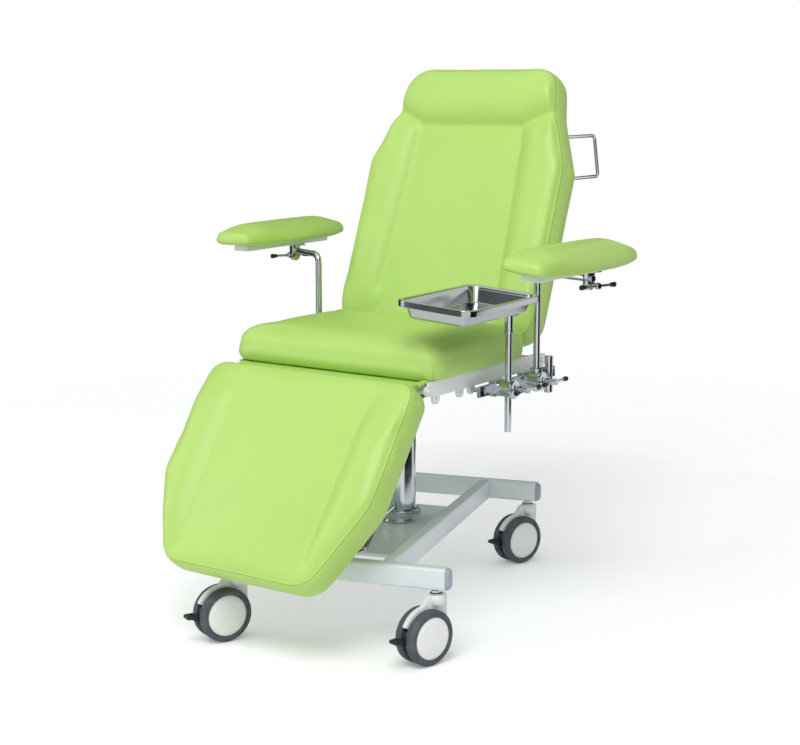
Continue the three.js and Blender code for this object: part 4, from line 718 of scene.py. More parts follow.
@dataclass(frozen=True)
class Studio:
    """The pale floor, the soft lamps and the camera at the photograph's angle."""

    eye: tuple[float, float, float] = (2202.0, -3184.0, 1234.0)
    heading: tuple[float, float] = (-0.568, 0.823)
    pitch: float = 9.98
    lens: float = 72.0
    sensor: float = 36.0
    floor_radius: float = 5.0
    floor_fade: tuple[float, float] = (1.2, 3.4)
    floor_glow: float = 0.17
    ambient: float = 0.62
    key: float = 150.0
    fill: float = 34.0
    # Dark cloths seen only in mirrors, as painted dark reflections: name, start and end angle about Z, tone.
    dark_reflection_cloths: tuple[tuple[str, float, float, float], ...] = (
        ("right", -16, 44, 0.02), ("corner", 66, 84, 0.02), ("back", 92, 156, 0.02), ("left", -197, -150, 0.05),
        ("front", -112, -72, 0.2))
    cloth_reach: tuple[float, float] = (1700.0, 1712.0)
    cloth_span: tuple[float, float] = (4.0, 3000.0)

    def build(self) -> None:
        """Builds everything that isn't part of the chair."""
        self._camera()
        self._floor()
        self._world()
        self._lamp("key", (1.3, -3.3, 4.6), (3.0, 2.4), self.key)
        self._lamp("fill", (-3.6, -2.2, 2.6), (2.6, 2.6), self.fill)
        # The cloths paint dark reflections into chrome and steel.
        for cloth in self.dark_reflection_cloths:
            self._dark_reflection_cloth(*cloth)
        bpy.context.scene.view_settings.view_transform = "Standard"

    def _camera(self) -> None:
        """Places the camera by its eye point, heading and pitch."""
        data = bpy.data.cameras.new("camera")
        data.lens, data.sensor_width = self.lens, self.sensor
        camera = stand("camera", data)
        camera.location = Vector((np.array(self.eye) + axis_shift()) * MILLI)
        fall = math.radians(self.pitch)
        flat = unit(np.array(self.heading)) * math.cos(fall)
        camera.rotation_euler = Vector((*flat, -math.sin(fall))).to_track_quat("-Z", "Y").to_euler()
        bpy.context.scene.camera = camera

    def _floor(self) -> None:
        """A round floor whose outer part fades into the white around it."""
        radius = np.linspace(0, self.floor_radius / MILLI, 40)[:, None]
        angle = np.linspace(0, 2 * np.pi, 96, endpoint=False)
        grid = np.stack([radius * np.cos(angle), radius * np.sin(angle), 0 * radius * angle], axis=-1)
        floor = Shell("floor").add(grid, capped=False).build()
        if floor.data.polygons[-1].normal.z < 0:
            floor.data.flip_normals()
        glow = (self.floor_glow,) * 3 + (1,)
        n = Nodes("floor_pale")
        place = n.place()
        away = n.add("ShaderNodeVectorMath", {"operation": "LENGTH"}, {0: place}, output="Value")
        veil = n.noise(place, 0.7, 2.0)
        seen = n.add("ShaderNodeLightPath", output="Is Camera Ray")
        n.set(Base_Color=n.blend(veil, (0.95, 0.95, 0.95, 1), (0.98, 0.98, 0.98, 1)),
              Roughness=0.62 + veil * 0.1, Specular_IOR_Level=0.15,
              Emission_Color=n.blend(seen, (0, 0, 0, 1), glow), Emission_Strength=1.0)
        clear = n.add("ShaderNodeBsdfTransparent")
        mixed = n.add("ShaderNodeMixShader", {}, {
            0: away.ramp(*self.floor_fade), 1: Value(n, n.shader.outputs[0]), 2: clear})
        n.feed(n.output.inputs["Surface"], mixed)
        floor.data.materials.append(n.material)

    def _world(self) -> None:
        """White where the camera or a mirror looks, and a soft even light for all else."""
        world = bpy.data.worlds.new("studio")
        bpy.context.scene.world = world
        world.use_nodes = True
        tree = world.node_tree
        light, path = tree.nodes["Background"], tree.nodes.new("ShaderNodeLightPath")
        light.inputs["Color"].default_value = (0.96, 0.98, 1.0, 1)
        light.inputs["Strength"].default_value = self.ambient
        white = tree.nodes.new("ShaderNodeBackground")
        white.inputs["Color"].default_value = (1, 1, 1, 1)
        white.inputs["Strength"].default_value = 1.0
        seen = path.outputs["Is Camera Ray"]
        for ray in ("Is Glossy Ray", "Is Transmission Ray"):
            either = tree.nodes.new("ShaderNodeMath")
            either.operation = "MAXIMUM"
            tree.links.new(seen, either.inputs[0])
            tree.links.new(path.outputs[ray], either.inputs[1])
            seen = either.outputs[0]
        mix = tree.nodes.new("ShaderNodeMixShader")
        tree.links.new(seen, mix.inputs[0])
        tree.links.new(light.outputs[0], mix.inputs[1])
        tree.links.new(white.outputs[0], mix.inputs[2])
        tree.links.new(mix.outputs[0], tree.nodes["World Output"].inputs["Surface"])

    def _dark_reflection_cloth(self, name: str, start: float, end: float, tone: float) -> None:
        """A dark cloth that stands round a part of the studio, which only mirrors show: a painted dark reflection
        in chrome and steel that casts no light or shade.

        Args:
            name: The cloth's name.
            start: The angle about Z at which it starts, in degrees from +X.
            end: The angle at which it ends.
            tone: Its brightness from 0 to 1.
        """
        angle = np.radians(np.linspace(start, end, 24))
        around = np.concatenate([angle, angle[::-1]])
        reach = np.repeat(self.cloth_reach, len(angle))
        ring = np.stack([reach * np.cos(around), reach * np.sin(around)], axis=1)
        grid = np.stack([np.concatenate([ring, np.full((len(ring), 1), z)], axis=1) for z in self.cloth_span])
        cloth = Shell(f"dark_reflection_flag_{name}").add(grid).build()
        n = Nodes(f"cloth_{name}")
        weave = n.noise(n.place(), 60.0, 3.0)
        n.set(Base_Color=n.blend(weave, (tone * 0.8,) * 3 + (1,), (tone * 1.2,) * 3 + (1,)),
              Roughness=0.8 + weave * 0.1, Specular_IOR_Level=0.0)
        cloth.data.materials.append(n.material)
        for ray in ("camera", "diffuse", "shadow", "transmission", "volume_scatter"):
            setattr(cloth, f"visible_{ray}", False)

    def _lamp(self, name: str, place: tuple, size: tuple, power: float) -> None:
        """One wide area lamp that looks at the middle of the chair."""
        data = bpy.data.lights.new(name, "AREA")
        data.shape, data.size, data.size_y, data.energy = "RECTANGLE", size[0], size[1], power
        lamp = stand(name, data)
        lamp.location = place
        aim = Vector((0, 0, 0.7)) - Vector(place)
        lamp.rotation_euler = aim.to_track_quat("-Z", "Y").to_euler()


# Padded pieces


@dataclass(frozen=True)
class Outline:
    """A closed outline of straight runs and round corners in a pad's own plane, counter-clockwise."""

    corners: tuple[tuple[float, float], ...]
    radii: tuple[float, ...]
    run_steps: int = 12
    corner_steps: int = 8

    def ring(self, inset: float) -> Array:
        """The outline drawn inwards.

        The straight runs move in by the inset, each corner goes to where its two runs then meet, and its
        arc keeps its centre, so that its radius shrinks on an outer corner and grows on an inner one.

        Args:
            inset: How far the outline moves in.

        Returns:
            Points in order, (n, 2).
        """
        c = np.array(self.corners, float)
        ahead = unit(np.roll(c, -1, axis=0) - c)
        behind = np.roll(ahead, 1, axis=0)
        out = np.stack([ahead[:, 1], -ahead[:, 0]], axis=1)
        out_before = np.roll(out, 1, axis=0)
        corner = c - inset * (out + out_before) / (1 + (out * out_before).sum(1, keepdims=True))
        turn = np.arctan2(behind[:, 0] * ahead[:, 1] - behind[:, 1] * ahead[:, 0], (behind * ahead).sum(1))
        radius = np.maximum(np.array(self.radii) - inset * np.sign(turn), 0.5)
        reach = (radius * np.tan(np.abs(turn) / 2))[:, None]
        start, end = corner - reach * behind, corner + reach * ahead
        centre = start + (radius * np.sign(turn))[:, None] * np.stack([-behind[:, 1], behind[:, 0]], axis=1)
        angle = turn[:, None] * np.linspace(0, 1, self.corner_steps + 1)[None]
        spoke = (start - centre)[:, None]
        arc = centre[:, None] + np.stack([
            spoke[..., 0] * np.cos(angle) - spoke[..., 1] * np.sin(angle),
            spoke[..., 0] * np.sin(angle) + spoke[..., 1] * np.cos(angle)], axis=-1)
        share = np.linspace(0, 1, self.run_steps + 1)[1:-1][None, :, None]
        run = end[:, None] * (1 - share) + np.roll(start, -1, axis=0)[:, None] * share
        return np.concatenate([arc, run], axis=1).reshape(-1, 2)


def rise(share: Array, power: float = 1.0) -> Array:
    """From 0 to 1 along a quarter sine, held outside, to a power."""
    return np.sin(np.clip(share, 0, 1) * np.pi / 2) ** power


def smooth(share: Array) -> Array:
    """From 0 to 1 along 3t^2 - 2t^3, held outside."""
    t = np.clip(share, 0, 1)
    return t * t * (3 - 2 * t)


def side_of(x: Array, y: Array, start: tuple[float, float], end: tuple[float, float]) -> Array:
    """Signed distance of points from a line, above zero on its left when looking to its end."""
    (x0, y0), (x1, y1) = start, end
    reach = math.hypot(x1 - x0, y1 - y0)
    return ((x1 - x0) * (y - y0) - (y1 - y0) * (x - x0)) / reach


def no_crease(x: Array, y: Array) -> Array:
    """The distance to a crease on a pad that has none: far away everywhere."""
    return np.full_like(x, 1e3)


Relief = Callable[[Array, Array], Array]


@dataclass(frozen=True)
class Pad:
    """A foam pad with a sewn cover: a rounded outline, a flat board side and a swelling face.

    Local X and Y lie in the board's plane and local Z points to the body that lies on the pad.
    """

    name: str
    outline: Outline
    thickness: float
    edge: float
    tuck: float
    place: Place
    relief: Relief
    crease: Relief
    side_bulge: float = 3.0
    voxel: float = 6.0
    cap: float = 9.0
    swell: float = 4.0
    seam_share: float = 0.55
    corner_seams: float = 0.0
    frames: int = 18
    bend: Callable[[Array], Array] | None = None

    def profile(self) -> tuple[Array, Array]:
        """Insets and heights from the board's edge up the side and over to the face.

        The side leaves the board at an inset of the tuck, swells out along a sine and turns into the
        face along a quarter circle of the edge's radius.

        Returns:
            The insets and the heights.
        """
        share = np.linspace(0, 1, 9)
        wall = self.thickness - self.edge
        side_in = self.tuck * (1 - rise(share * 1.4, 0.8)) - self.side_bulge * np.sin(np.pi * share) * 0.5
        theta = np.linspace(0, np.pi / 2, 9)[1:]
        insets = np.concatenate([[self.tuck + 4], side_in, self.edge * (1 - np.cos(theta))])
        heights = np.concatenate([[0.0], 2.5 + share * (wall - 2.5), wall + self.edge * np.sin(theta)])
        return insets, heights

    def form(self) -> Array:
        """The cover before it swells: rings up the side, then rings that shrink to the face's middle."""
        insets, heights = self.profile()
        rings = np.stack([self.outline.ring(value) for value in insets])
        inner = rings[-1]
        middle = inner.mean(axis=0)
        shrink = np.linspace(1, 0, 56)[1:, None, None]
        face = middle + (inner - middle) * shrink
        flat = np.concatenate([rings, face])
        height = np.concatenate([heights, np.full(len(face), self.thickness)])[:, None]
        height = np.repeat(height, flat.shape[1], axis=1)
        on_face = smooth((height - (self.thickness - self.edge)) / self.edge)
        height = height + on_face * self.relief(flat[..., 0], flat[..., 1])
        return np.concatenate([flat, height[..., None]], axis=-1)

    def build(self) -> bpy.types.Object:
        """Builds, swells and places the pad.

        Returns:
            The finished pad, in the shared frame.
        """
        piece = self._skin()
        rest = self._places(piece)
        self._mark(piece, rest)
        self._swell(piece, rest)
        self._relax(piece, 2)
        if self.bend is not None:
            places = self._places(piece)
            self._set(piece, places + self.bend(places / MILLI) * MILLI)
        piece.data.transform(self.place.matrix())
        piece.data.shade_smooth()
        layer = piece.modifiers.new("finer", "SUBSURF")
        layer.levels = layer.render_levels = 1
        return piece

    def _skin(self) -> bpy.types.Object:
        """The form as an even skin of small square faces, in metres at the origin."""
        grid = self.form() * MILLI
        index = np.arange(grid.shape[0] * grid.shape[1]).reshape(grid.shape[:2])
        mesh = bpy.data.meshes.new(self.name)
        mesh.from_pydata(grid.reshape(-1, 3).tolist(), [], band(index).tolist() + [index[0][::-1].tolist()])
        weld(mesh, 1e-5)
        piece = stand(self.name, mesh)
        remesh = piece.modifiers.new("even", "REMESH")
        remesh.mode, remesh.voxel_size = "VOXEL", self.voxel * MILLI
        self.apply(piece)
        return piece

    @staticmethod
    def apply(piece: bpy.types.Object) -> None:
        """Puts the result of a piece's modifiers into its mesh."""
        graph = bpy.context.evaluated_depsgraph_get()
        mesh = bpy.data.meshes.new_from_object(piece.evaluated_get(graph))
        piece.modifiers.clear()
        old, piece.data = piece.data, mesh
        bpy.data.meshes.remove(old)

    @staticmethod
    def _places(piece: bpy.types.Object) -> Array:
        """The mesh's points as an array."""
        flat = np.empty(len(piece.data.vertices) * 3)
        piece.data.vertices.foreach_get("co", flat)
        return flat.reshape(-1, 3)

    @staticmethod
    def _set(piece: bpy.types.Object, places: Array) -> None:
        """Writes points back into the mesh."""
        piece.data.vertices.foreach_set("co", places.ravel())
        piece.data.update()

    def _mark(self, piece: bpy.types.Object, rest: Array) -> None:
        """Writes how far each point lies from the seam, and how far along it.

        The seam runs round the pad part of the way over its rounded edge. A point's distance is its
        place on the way up the side and over the edge, less the seam's. Where ``corner_seams`` gives a
        half width, two upright seams at the front corners take its place, each in the plane at 45
        degrees through its corner.

        Args:
            piece: The pad.
            rest: Its points before it swells, in metres.
        """
        points = rest / MILLI
        ring = self.outline.ring(0)
        ahead = np.roll(ring, -1, axis=0) - ring
        run = np.maximum(np.linalg.norm(ahead, axis=1), 1e-6)
        start = np.concatenate([[0], np.cumsum(run)[:-1]])
        inset, along = np.empty(len(points)), np.empty(len(points))
        for part in np.array_split(np.arange(len(points)), max(len(points) // 4000, 1)):
            spoke = points[part, None, :2] - ring[None]
            share = np.clip((spoke * ahead[None]).sum(axis=-1) / run ** 2, 0, 1)
            gap = np.linalg.norm(spoke - share[..., None] * ahead[None], axis=-1)
            nearest, row = gap.argmin(axis=1), np.arange(len(part))
            inset[part] = gap[row, nearest]
            along[part] = start[nearest] + share[row, nearest] * run[nearest]
        wall = self.thickness - self.edge
        around = self.edge * np.arctan2(np.maximum(points[:, 2] - wall, 0), np.maximum(self.edge - inset, 0.01))
        girth = np.where(points[:, 2] < wall, points[:, 2] - wall, around)
        girth = np.where(inset > self.edge, self.edge * np.pi / 2 + inset - self.edge, girth)
        girth = np.where(points[:, 2] < 1, -wall - inset, girth)
        seam = girth - self.seam_share * self.edge * np.pi / 2
        if self.corner_seams:
            across, ahead = self.corner_seams - np.abs(points[:, 0]), points[:, 1]
            seam = np.where((across + ahead < 90) & (points[:, 2] < 0.9 * wall), (across - ahead) / 1.414, 99.0)
        for name, values in (("seam", seam * MILLI), ("along", along * MILLI)):
            layer = piece.data.attributes.new(name, "FLOAT", "POINT")
            layer.data.foreach_set("value", values.astype(np.float32))

    def _swell(self, piece: bpy.types.Object, rest: Array) -> None:
        """Lets the cover swell under pressure, as cloth that is held at its board and its creases.

        Args:
            piece: The pad.
            rest: Its points before it swells, in metres.
        """
        points = rest / MILLI
        low = 1 - smooth((points[:, 2] - 0.12 * self.thickness) / (0.35 * self.thickness))
        crease = np.exp(-(self.crease(points[:, 0], points[:, 1]) / 8.0) ** 2)
        crease = crease * smooth((points[:, 2] - 0.5 * self.thickness) / (0.3 * self.thickness))
        held = np.clip(np.maximum(low, crease), 0, 1)
        group = piece.vertex_groups.new(name="held")
        for level in np.unique(np.round(held, 2)):
            group.add(np.nonzero(np.round(held, 2) == level)[0].tolist(), float(level), "REPLACE")
        cloth = piece.modifiers.new("cover", "CLOTH")
        settings = cloth.settings
        settings.quality = 4
        settings.mass = 0.25
        settings.use_pressure = True
        settings.uniform_pressure_force = self.swell
        settings.vertex_group_mass = "held"
        settings.effector_weights.gravity = 0
        settings.tension_stiffness = settings.compression_stiffness = 25
        settings.bending_stiffness = 2.0
        cloth.point_cache.frame_start, cloth.point_cache.frame_end = 1, self.frames
        scene = bpy.context.scene
        for number in range(1, self.frames + 1):
            scene.frame_set(number)
        graph = bpy.context.evaluated_depsgraph_get()
        result = piece.evaluated_get(graph).to_mesh()
        flat = np.empty(len(result.vertices) * 3)
        result.vertices.foreach_get("co", flat)
        shift = flat.reshape(-1, 3) - rest
        piece.modifiers.clear()
        scene.frame_set(1)
        limit = self.cap * MILLI
        length = np.linalg.norm(shift, axis=1, keepdims=True)
        self._set(piece, rest + shift / np.sqrt(1 + (length / limit) ** 2))
        log.info("%s swells by up to %.1f mm", self.name, float(length.max()) / MILLI)

    def _relax(self, piece: bpy.types.Object, rounds: int) -> None:
        """Evens the skin: each point goes halfway to the mean of the points beside it."""
        mesh = piece.data
        pairs = np.empty(len(mesh.edges) * 2, np.int64)
        mesh.edges.foreach_get("vertices", pairs)
        a, b = pairs.reshape(-1, 2).T
        places = self._places(piece)
        for _ in range(rounds):
            total, count = np.zeros_like(places), np.zeros(len(places))
            np.add.at(total, a, places[b])
            np.add.at(total, b, places[a])
            np.add.at(count, a, 1)
            np.add.at(count, b, 1)
            places = (places + total / count[:, None]) / 2
        self._set(piece, places)


@dataclass(frozen=True)
class Upholstery:
    """The seat, the back and the leg rest."""

    shop: Workshop
    back_hinge: tuple[float, float] = (226.0, 580.0)
    back_lean: float = 21.5
    leg_hinge: tuple[float, float] = (-279.0, 577.0)
    leg_slope: float = 54.0

    def build(self) -> None:
        """Builds the three pads, the strip over the leg rest's hinge and their finishes."""
        vinyl = self.shop.finish.vinyl
        for pad, body, node in ((self._seat(), "seat", "seat_cushion"), (self._back(), "back", "back_cushion"),
                                (self._leg(), "leg", "leg_cushion")):
            piece = pad.build()
            self.shop.fit(piece, body, Slot.VINYL, vinyl, node)
        self._flap()

    def _seat(self) -> Pad:
        """The seat: low crown, round front edge and a rear end that leans with the back."""
        half, front, rear, lean = 294.0, -285.0, 140.0, 26.0
        bottom, thickness = 598.0, 76
        length = rear - front - lean

        def relief(x: Array, y: Array) -> Array:
            """A crown across the seat, highest in its middle, with a soft hollow for the thighs."""
            across, along = x / half, y / length
            crown = 14 * (1 - across ** 2) * np.sin(np.pi * np.clip(along, 0, 1)) ** 0.8
            return crown - 3 * np.exp(-((across / 0.45) ** 2)) * np.exp(-(((along - 0.62) / 0.3) ** 2))

        outline = Outline(((-half, 0), (half, 0), (half, length), (-half, length)), (46, 46, 30, 30), 22)
        return Pad("seat_pad", outline, thickness=thickness, edge=33, tuck=5, place=Place.at(0, front, bottom),
                   relief=relief, crease=no_crease, voxel=6.5, cap=7, corner_seams=half,
                   bend=lambda p: np.outer(lean * (p[:, 2] / thickness) * (p[:, 1] / length), (0, 1, 0)))

    def _back(self) -> Pad:
        """The back: a recessed panel between two bolsters, under a head pillow."""
        panel_foot, panel_top, panel_end, neck = 178.0, 152.0, 554.0, 592.0
        neck_half = 235.0
        bolster_high, bolster_run, pillow_high, pillow_run = 21, 50, 23, 48

        def regions(x: Array, y: Array) -> tuple[Array, Array, Array]:
            """Distances into the bolster, into the pillow, and into the panel."""
            across = np.abs(x)
            panel_edge = -side_of(across, y, (panel_foot, 0), (panel_top, panel_end))
            upper = side_of(across, y, (panel_top, panel_end), (neck_half, neck))
            bolster = np.minimum(panel_edge, -upper)
            pillow = np.minimum(y - panel_end, upper)
            panel = np.minimum(-panel_edge, panel_end - y)
            return bolster, pillow, panel

        def relief(x: Array, y: Array) -> Array:
            """Bolsters and pillow rise from the creases that bound them, and the panel is lightly crowned."""
            bolster, pillow, panel = regions(x, y)
            foot = smooth(y / 110)
            high = bolster_high * rise(bolster / bolster_run, 0.9) * foot
            high = high + pillow_high * rise(pillow / pillow_run, 0.85)
            top = 1 - 0.55 * smooth((y - 640) / 75)
            return high * top + 3.5 * rise(panel / 120) - 3.0 * np.exp(-(panel / 11) ** 2) * foot

        def crease(x: Array, y: Array) -> Array:
            """The distance to the nearest crease."""
            bolster, pillow, panel = regions(x, y)
            return np.minimum(np.minimum(np.abs(bolster), np.abs(pillow)), np.abs(panel))

        outline = Outline(
            ((-290, 0), (290, 0), (290, 449), (235, 590), (211, 711), (-211, 711), (-235, 590), (-290, 449)),
            (64, 64, 70, 90, 66, 66, 90, 70))
        hinge = Place.at(0, *self.back_hinge, 90 - self.back_lean)
        return Pad("back_pad", outline, thickness=78, edge=17, tuck=6, place=Place.at(0, 14, 30).within(hinge),
                   relief=relief, crease=crease, cap=7)

    def _leg(self) -> Pad:
        """The leg rest: a panel between bolsters that run out at the tapered toe."""
        length = 505.0
        knee_edge, toe_edge = 188.0, 172.0
        bolster_high, bolster_run = 17, 50

        def bolster_at(x: Array, y: Array) -> Array:
            """The distance into the bolster from the panel's edge."""
            return -side_of(np.abs(x), y, (toe_edge, 0), (knee_edge, length))

        def relief(x: Array, y: Array) -> Array:
            """Bolsters rise from the panel's edges and end before the toe."""
            out = bolster_at(x, y)
            ends = smooth((y - 10) / 120) * smooth((length - y - 8) / 120)
            return (bolster_high * rise(out / bolster_run, 0.9) - 3.0 * np.exp(-(out / 10) ** 2)) * ends \
                + 4.0 * rise(-out / 120) * ends

        outline = Outline(
            ((-206, 0), (206, 0), (293, 207), (293, length), (-293, length), (-293, 207)),
            (70, 70, 90, 40, 40, 90), 14)
        hinge = Place.at(0, *self.leg_hinge, self.leg_slope)
        return Pad("leg_pad", outline, thickness=76, edge=17, tuck=6,
                   place=Place.at(0, -14 - length, 2).within(hinge), relief=relief, crease=bolster_at, cap=7)

    def _flap(self) -> None:
        """A strip of vinyl over the hinge, whose left end is rolled up.

        The strip is a sheet of two parameters: across its length x, and from its rear edge to its front
        edge s. It sags by a cosine over the hinge's gap, and past the start of the roll x and z follow a
        circle that turns with the run's length.
        """
        half, rear, front, radius = 266.0, -262.0, -309.0, 8.0
        spare, top, fall, wall = 34, 595.4, 7.0, 0.0012
        run = np.linspace(-half, half + spare, 150)[:, None]
        s = np.linspace(0, 1, 14)[None]
        past = np.maximum(run - (half - 6), 0) * (0.25 + 0.75 * s)
        turn = past / radius
        x = np.minimum(run, half - 6) + radius * np.sin(turn) + 0 * s
        z = top - fall * smooth(s) + radius * (1 - np.cos(turn)) * 0.62 - radius * 0.2 * turn / 6
        y = rear + (front - rear) * s - 3.0 * np.sin(np.pi * s) + 0 * run
        z = z - 0.5 * np.sin(run / 31) * s
        points = np.stack([np.broadcast_to(x, z.shape), np.broadcast_to(y, z.shape), z], axis=-1)
        rows, columns = z.shape
        index = np.arange(rows * columns).reshape(rows, columns)
        quads = np.stack([index[:-1, :-1], index[:-1, 1:], index[1:, 1:], index[1:, :-1]], axis=-1)
        mesh = bpy.data.meshes.new("hinge_strip")
        places = (points.reshape(-1, 3) + axis_shift()) * MILLI
        mesh.from_pydata(places.tolist(), [], quads.reshape(-1, 4).tolist())
        piece = stand("hinge_strip", mesh)
        skin = piece.modifiers.new("wall", "SOLIDIFY")
        skin.thickness, skin.offset = wall, 0.0
        mesh.shade_smooth()
        self.shop.fit(piece, "seat", Slot.VINYL, self.shop.finish.flap, "hinge_flap")


# Base, column and casters


@dataclass(frozen=True)
class Base:
    """The H-shaped base, its end caps, the column's sleeve and ram, and the pump pedal."""

    shop: Workshop
    yaw: float = 16.0
    track: float = 480.0
    wheelbase: float = 815.0
    setback: float = 46.0
    bottom: float = 161.0
    height: float = 50.0
    depth: float = 30.0
    overhang: float = 24.0
    plate_drop: float = 29.0
    plate_front: float = 259.0
    plate_rear: float = 202.0
    bar_out: float = 125.0

    @property
    def place(self) -> Place:
        """The base's turn about the column."""
        return Place.at(about_z=self.yaw)

    @property
    def plate_top(self) -> float:
        """The top of the plate, which lies sunk between the side bars."""
        return self.bottom + self.height - self.plate_drop

    def build(self) -> None:
        """Builds the base and what stands on it."""
        finish, middle = self.shop.finish, self.bottom + self.height / 2
        half = self.track / 2 + self.overhang
        front, rear = -self.setback - self.wheelbase / 2, -self.setback + self.wheelbase / 2
        for name, y in (("front", front), ("rear", rear)):
            tube = rounded_rect(self.depth, self.height, 7, 5)
            shell = Shell(f"{name}_bar").add(bar(tube, (-half, y, middle), (half, y, middle), edge=0.8), self.place)
            self.shop.fit(shell.build(), "base", Slot.PAINT, finish.paint, f"{name}_cross_bar")
            for side, hand in ((1, "left"), (-1, "right")):
                cap = Shell(f"{name}_cap_{hand}").add(self._dome(side * (half + 0.3), side, y, middle), self.place)
                self.shop.fit(cap.build(50), "base", Slot.CAP, finish.cap, f"end_cap_{name}_{hand}")
        self._centre(front, rear, middle)
        self._column()

    def _dome(self, x: float, side: int, y: float, z: float) -> Array:
        """An end cap: the tube's outline, which shrinks along a quarter ellipse as it stands out."""
        theta = np.linspace(0, np.pi / 2, 9)
        out = np.concatenate([[0, 1.2], 1.2 + 10.5 * np.sin(theta)])
        inset = np.concatenate([[0.2, 0.2], 0.4 + 13.0 * (1 - np.cos(theta))])
        section = rounded_rect(self.depth, self.height, 13.6, 6)
        rings = np.stack([section(value) for value in inset])
        grid = np.concatenate([np.repeat(out[:, None, None], rings.shape[1], 1) * side + x,
                               rings[..., :1] + y, rings[..., 1:] + z], axis=-1)
        return grid

    def _centre(self, front: float, rear: float, middle: float) -> None:
        """Two side bars, the plate between them and the weld beads along the joints."""
        shell = Shell("side_bars")
        half = self.depth / 2 + 0.3
        for side in (-1, 1):
            tube = rounded_rect(30, self.height, 5, 5)
            x = side * self.bar_out
            shell.add(bar(tube, (x, front + half, middle), (x, rear - half, middle), edge=0.6), self.place)
        top = self.plate_top
        plate = rounded_rect(222, 8, 1.5, 3)
        first, last = -self.setback - self.plate_front, -self.setback + self.plate_rear
        shell.add(bar(plate, (0, first, top - 4), (0, last, top - 4), edge=0.8), self.place)
        bead = disc(2.6, 12)
        t = np.linspace(first + 2, last - 2, 220)
        for side in (-1, 1):
            path = np.stack([np.full_like(t, side * 110.0), t, top + 0.25 * np.sin(t * 1.3)], axis=1)
            shell.add(prism(bead, path, (0, 0, 1), 1.0), self.place)
        self.shop.fit(shell.build(), "base", Slot.PAINT, self.shop.finish.paint, "base_centre_frame")

    def _column(self) -> None:
        """The polished sleeve with its foot ring, the ram in it and the pedal's rod on its yoke."""
        finish = self.shop.finish
        foot = self.plate_top + 0.3
        sleeve = soften([
            (0, foot), (46, foot), (46, foot + 5), (43, foot + 7), (43, 429), (40, 432), (31, 432), (31, foot + 24),
            (0, foot + 24)], 1.6)
        shell = Shell("sleeve").add(turned(sleeve, 96), self.place, capped=False)
        pedal_z = self.plate_top + 25
        for side in (-1, 1):
            shell.add(bar(disc(7), (side * 41, 0, pedal_z), (side * 59, 0, pedal_z)), self.place)
        self.shop.fit(shell.build(), "base", Slot.CHROME, finish.chrome, "column_sleeve")
        ram_top = 562 - 10 - 0.3
        ram = soften([(0, ram_top - 290), (27, ram_top - 290), (30, ram_top - 287), (30, ram_top - 2),
                      (28, ram_top), (0, ram_top)], 1.0)
        self.shop.fit(Shell("ram").add(turned(ram, 96), capped=False).build(), "lift", Slot.CHROME, finish.chrome,
                      "column_ram")
        self._pedal(pedal_z)

    def _pedal(self, z: float) -> None:
        """A thin rod welded to a half ring about the sleeve, bent down to the front and aside at its end."""
        angle = np.linspace(np.pi, 2 * np.pi, 40)
        hoop = np.stack([51 * np.cos(angle), 51 * np.sin(angle), np.full_like(angle, z)], axis=1)
        shell = Shell("pedal_rod").add(prism(rounded_rect(7.6, 14, 2.0, 3), hoop, (0, 0, 1), 0.8), self.place)
        for side in (-1, 1):
            shell.add(bar(disc(12), (side * 47.2, 0, z), (side * 54.8, 0, z)), self.place)
        rod = route([(6, -50, z + 4), (11, -64, z + 26), (-2, -150, z + 7), (46, -372, z + 4),
                     (34, -404, z + 4)], 12)
        shell.add(prism(disc(5.4, 24), rod, (1, 0, 0), 2.0), self.place)
        self.shop.fit(shell.build(), "pump_pedal", Slot.CHROME, self.shop.finish.chrome, "pump_pedal")


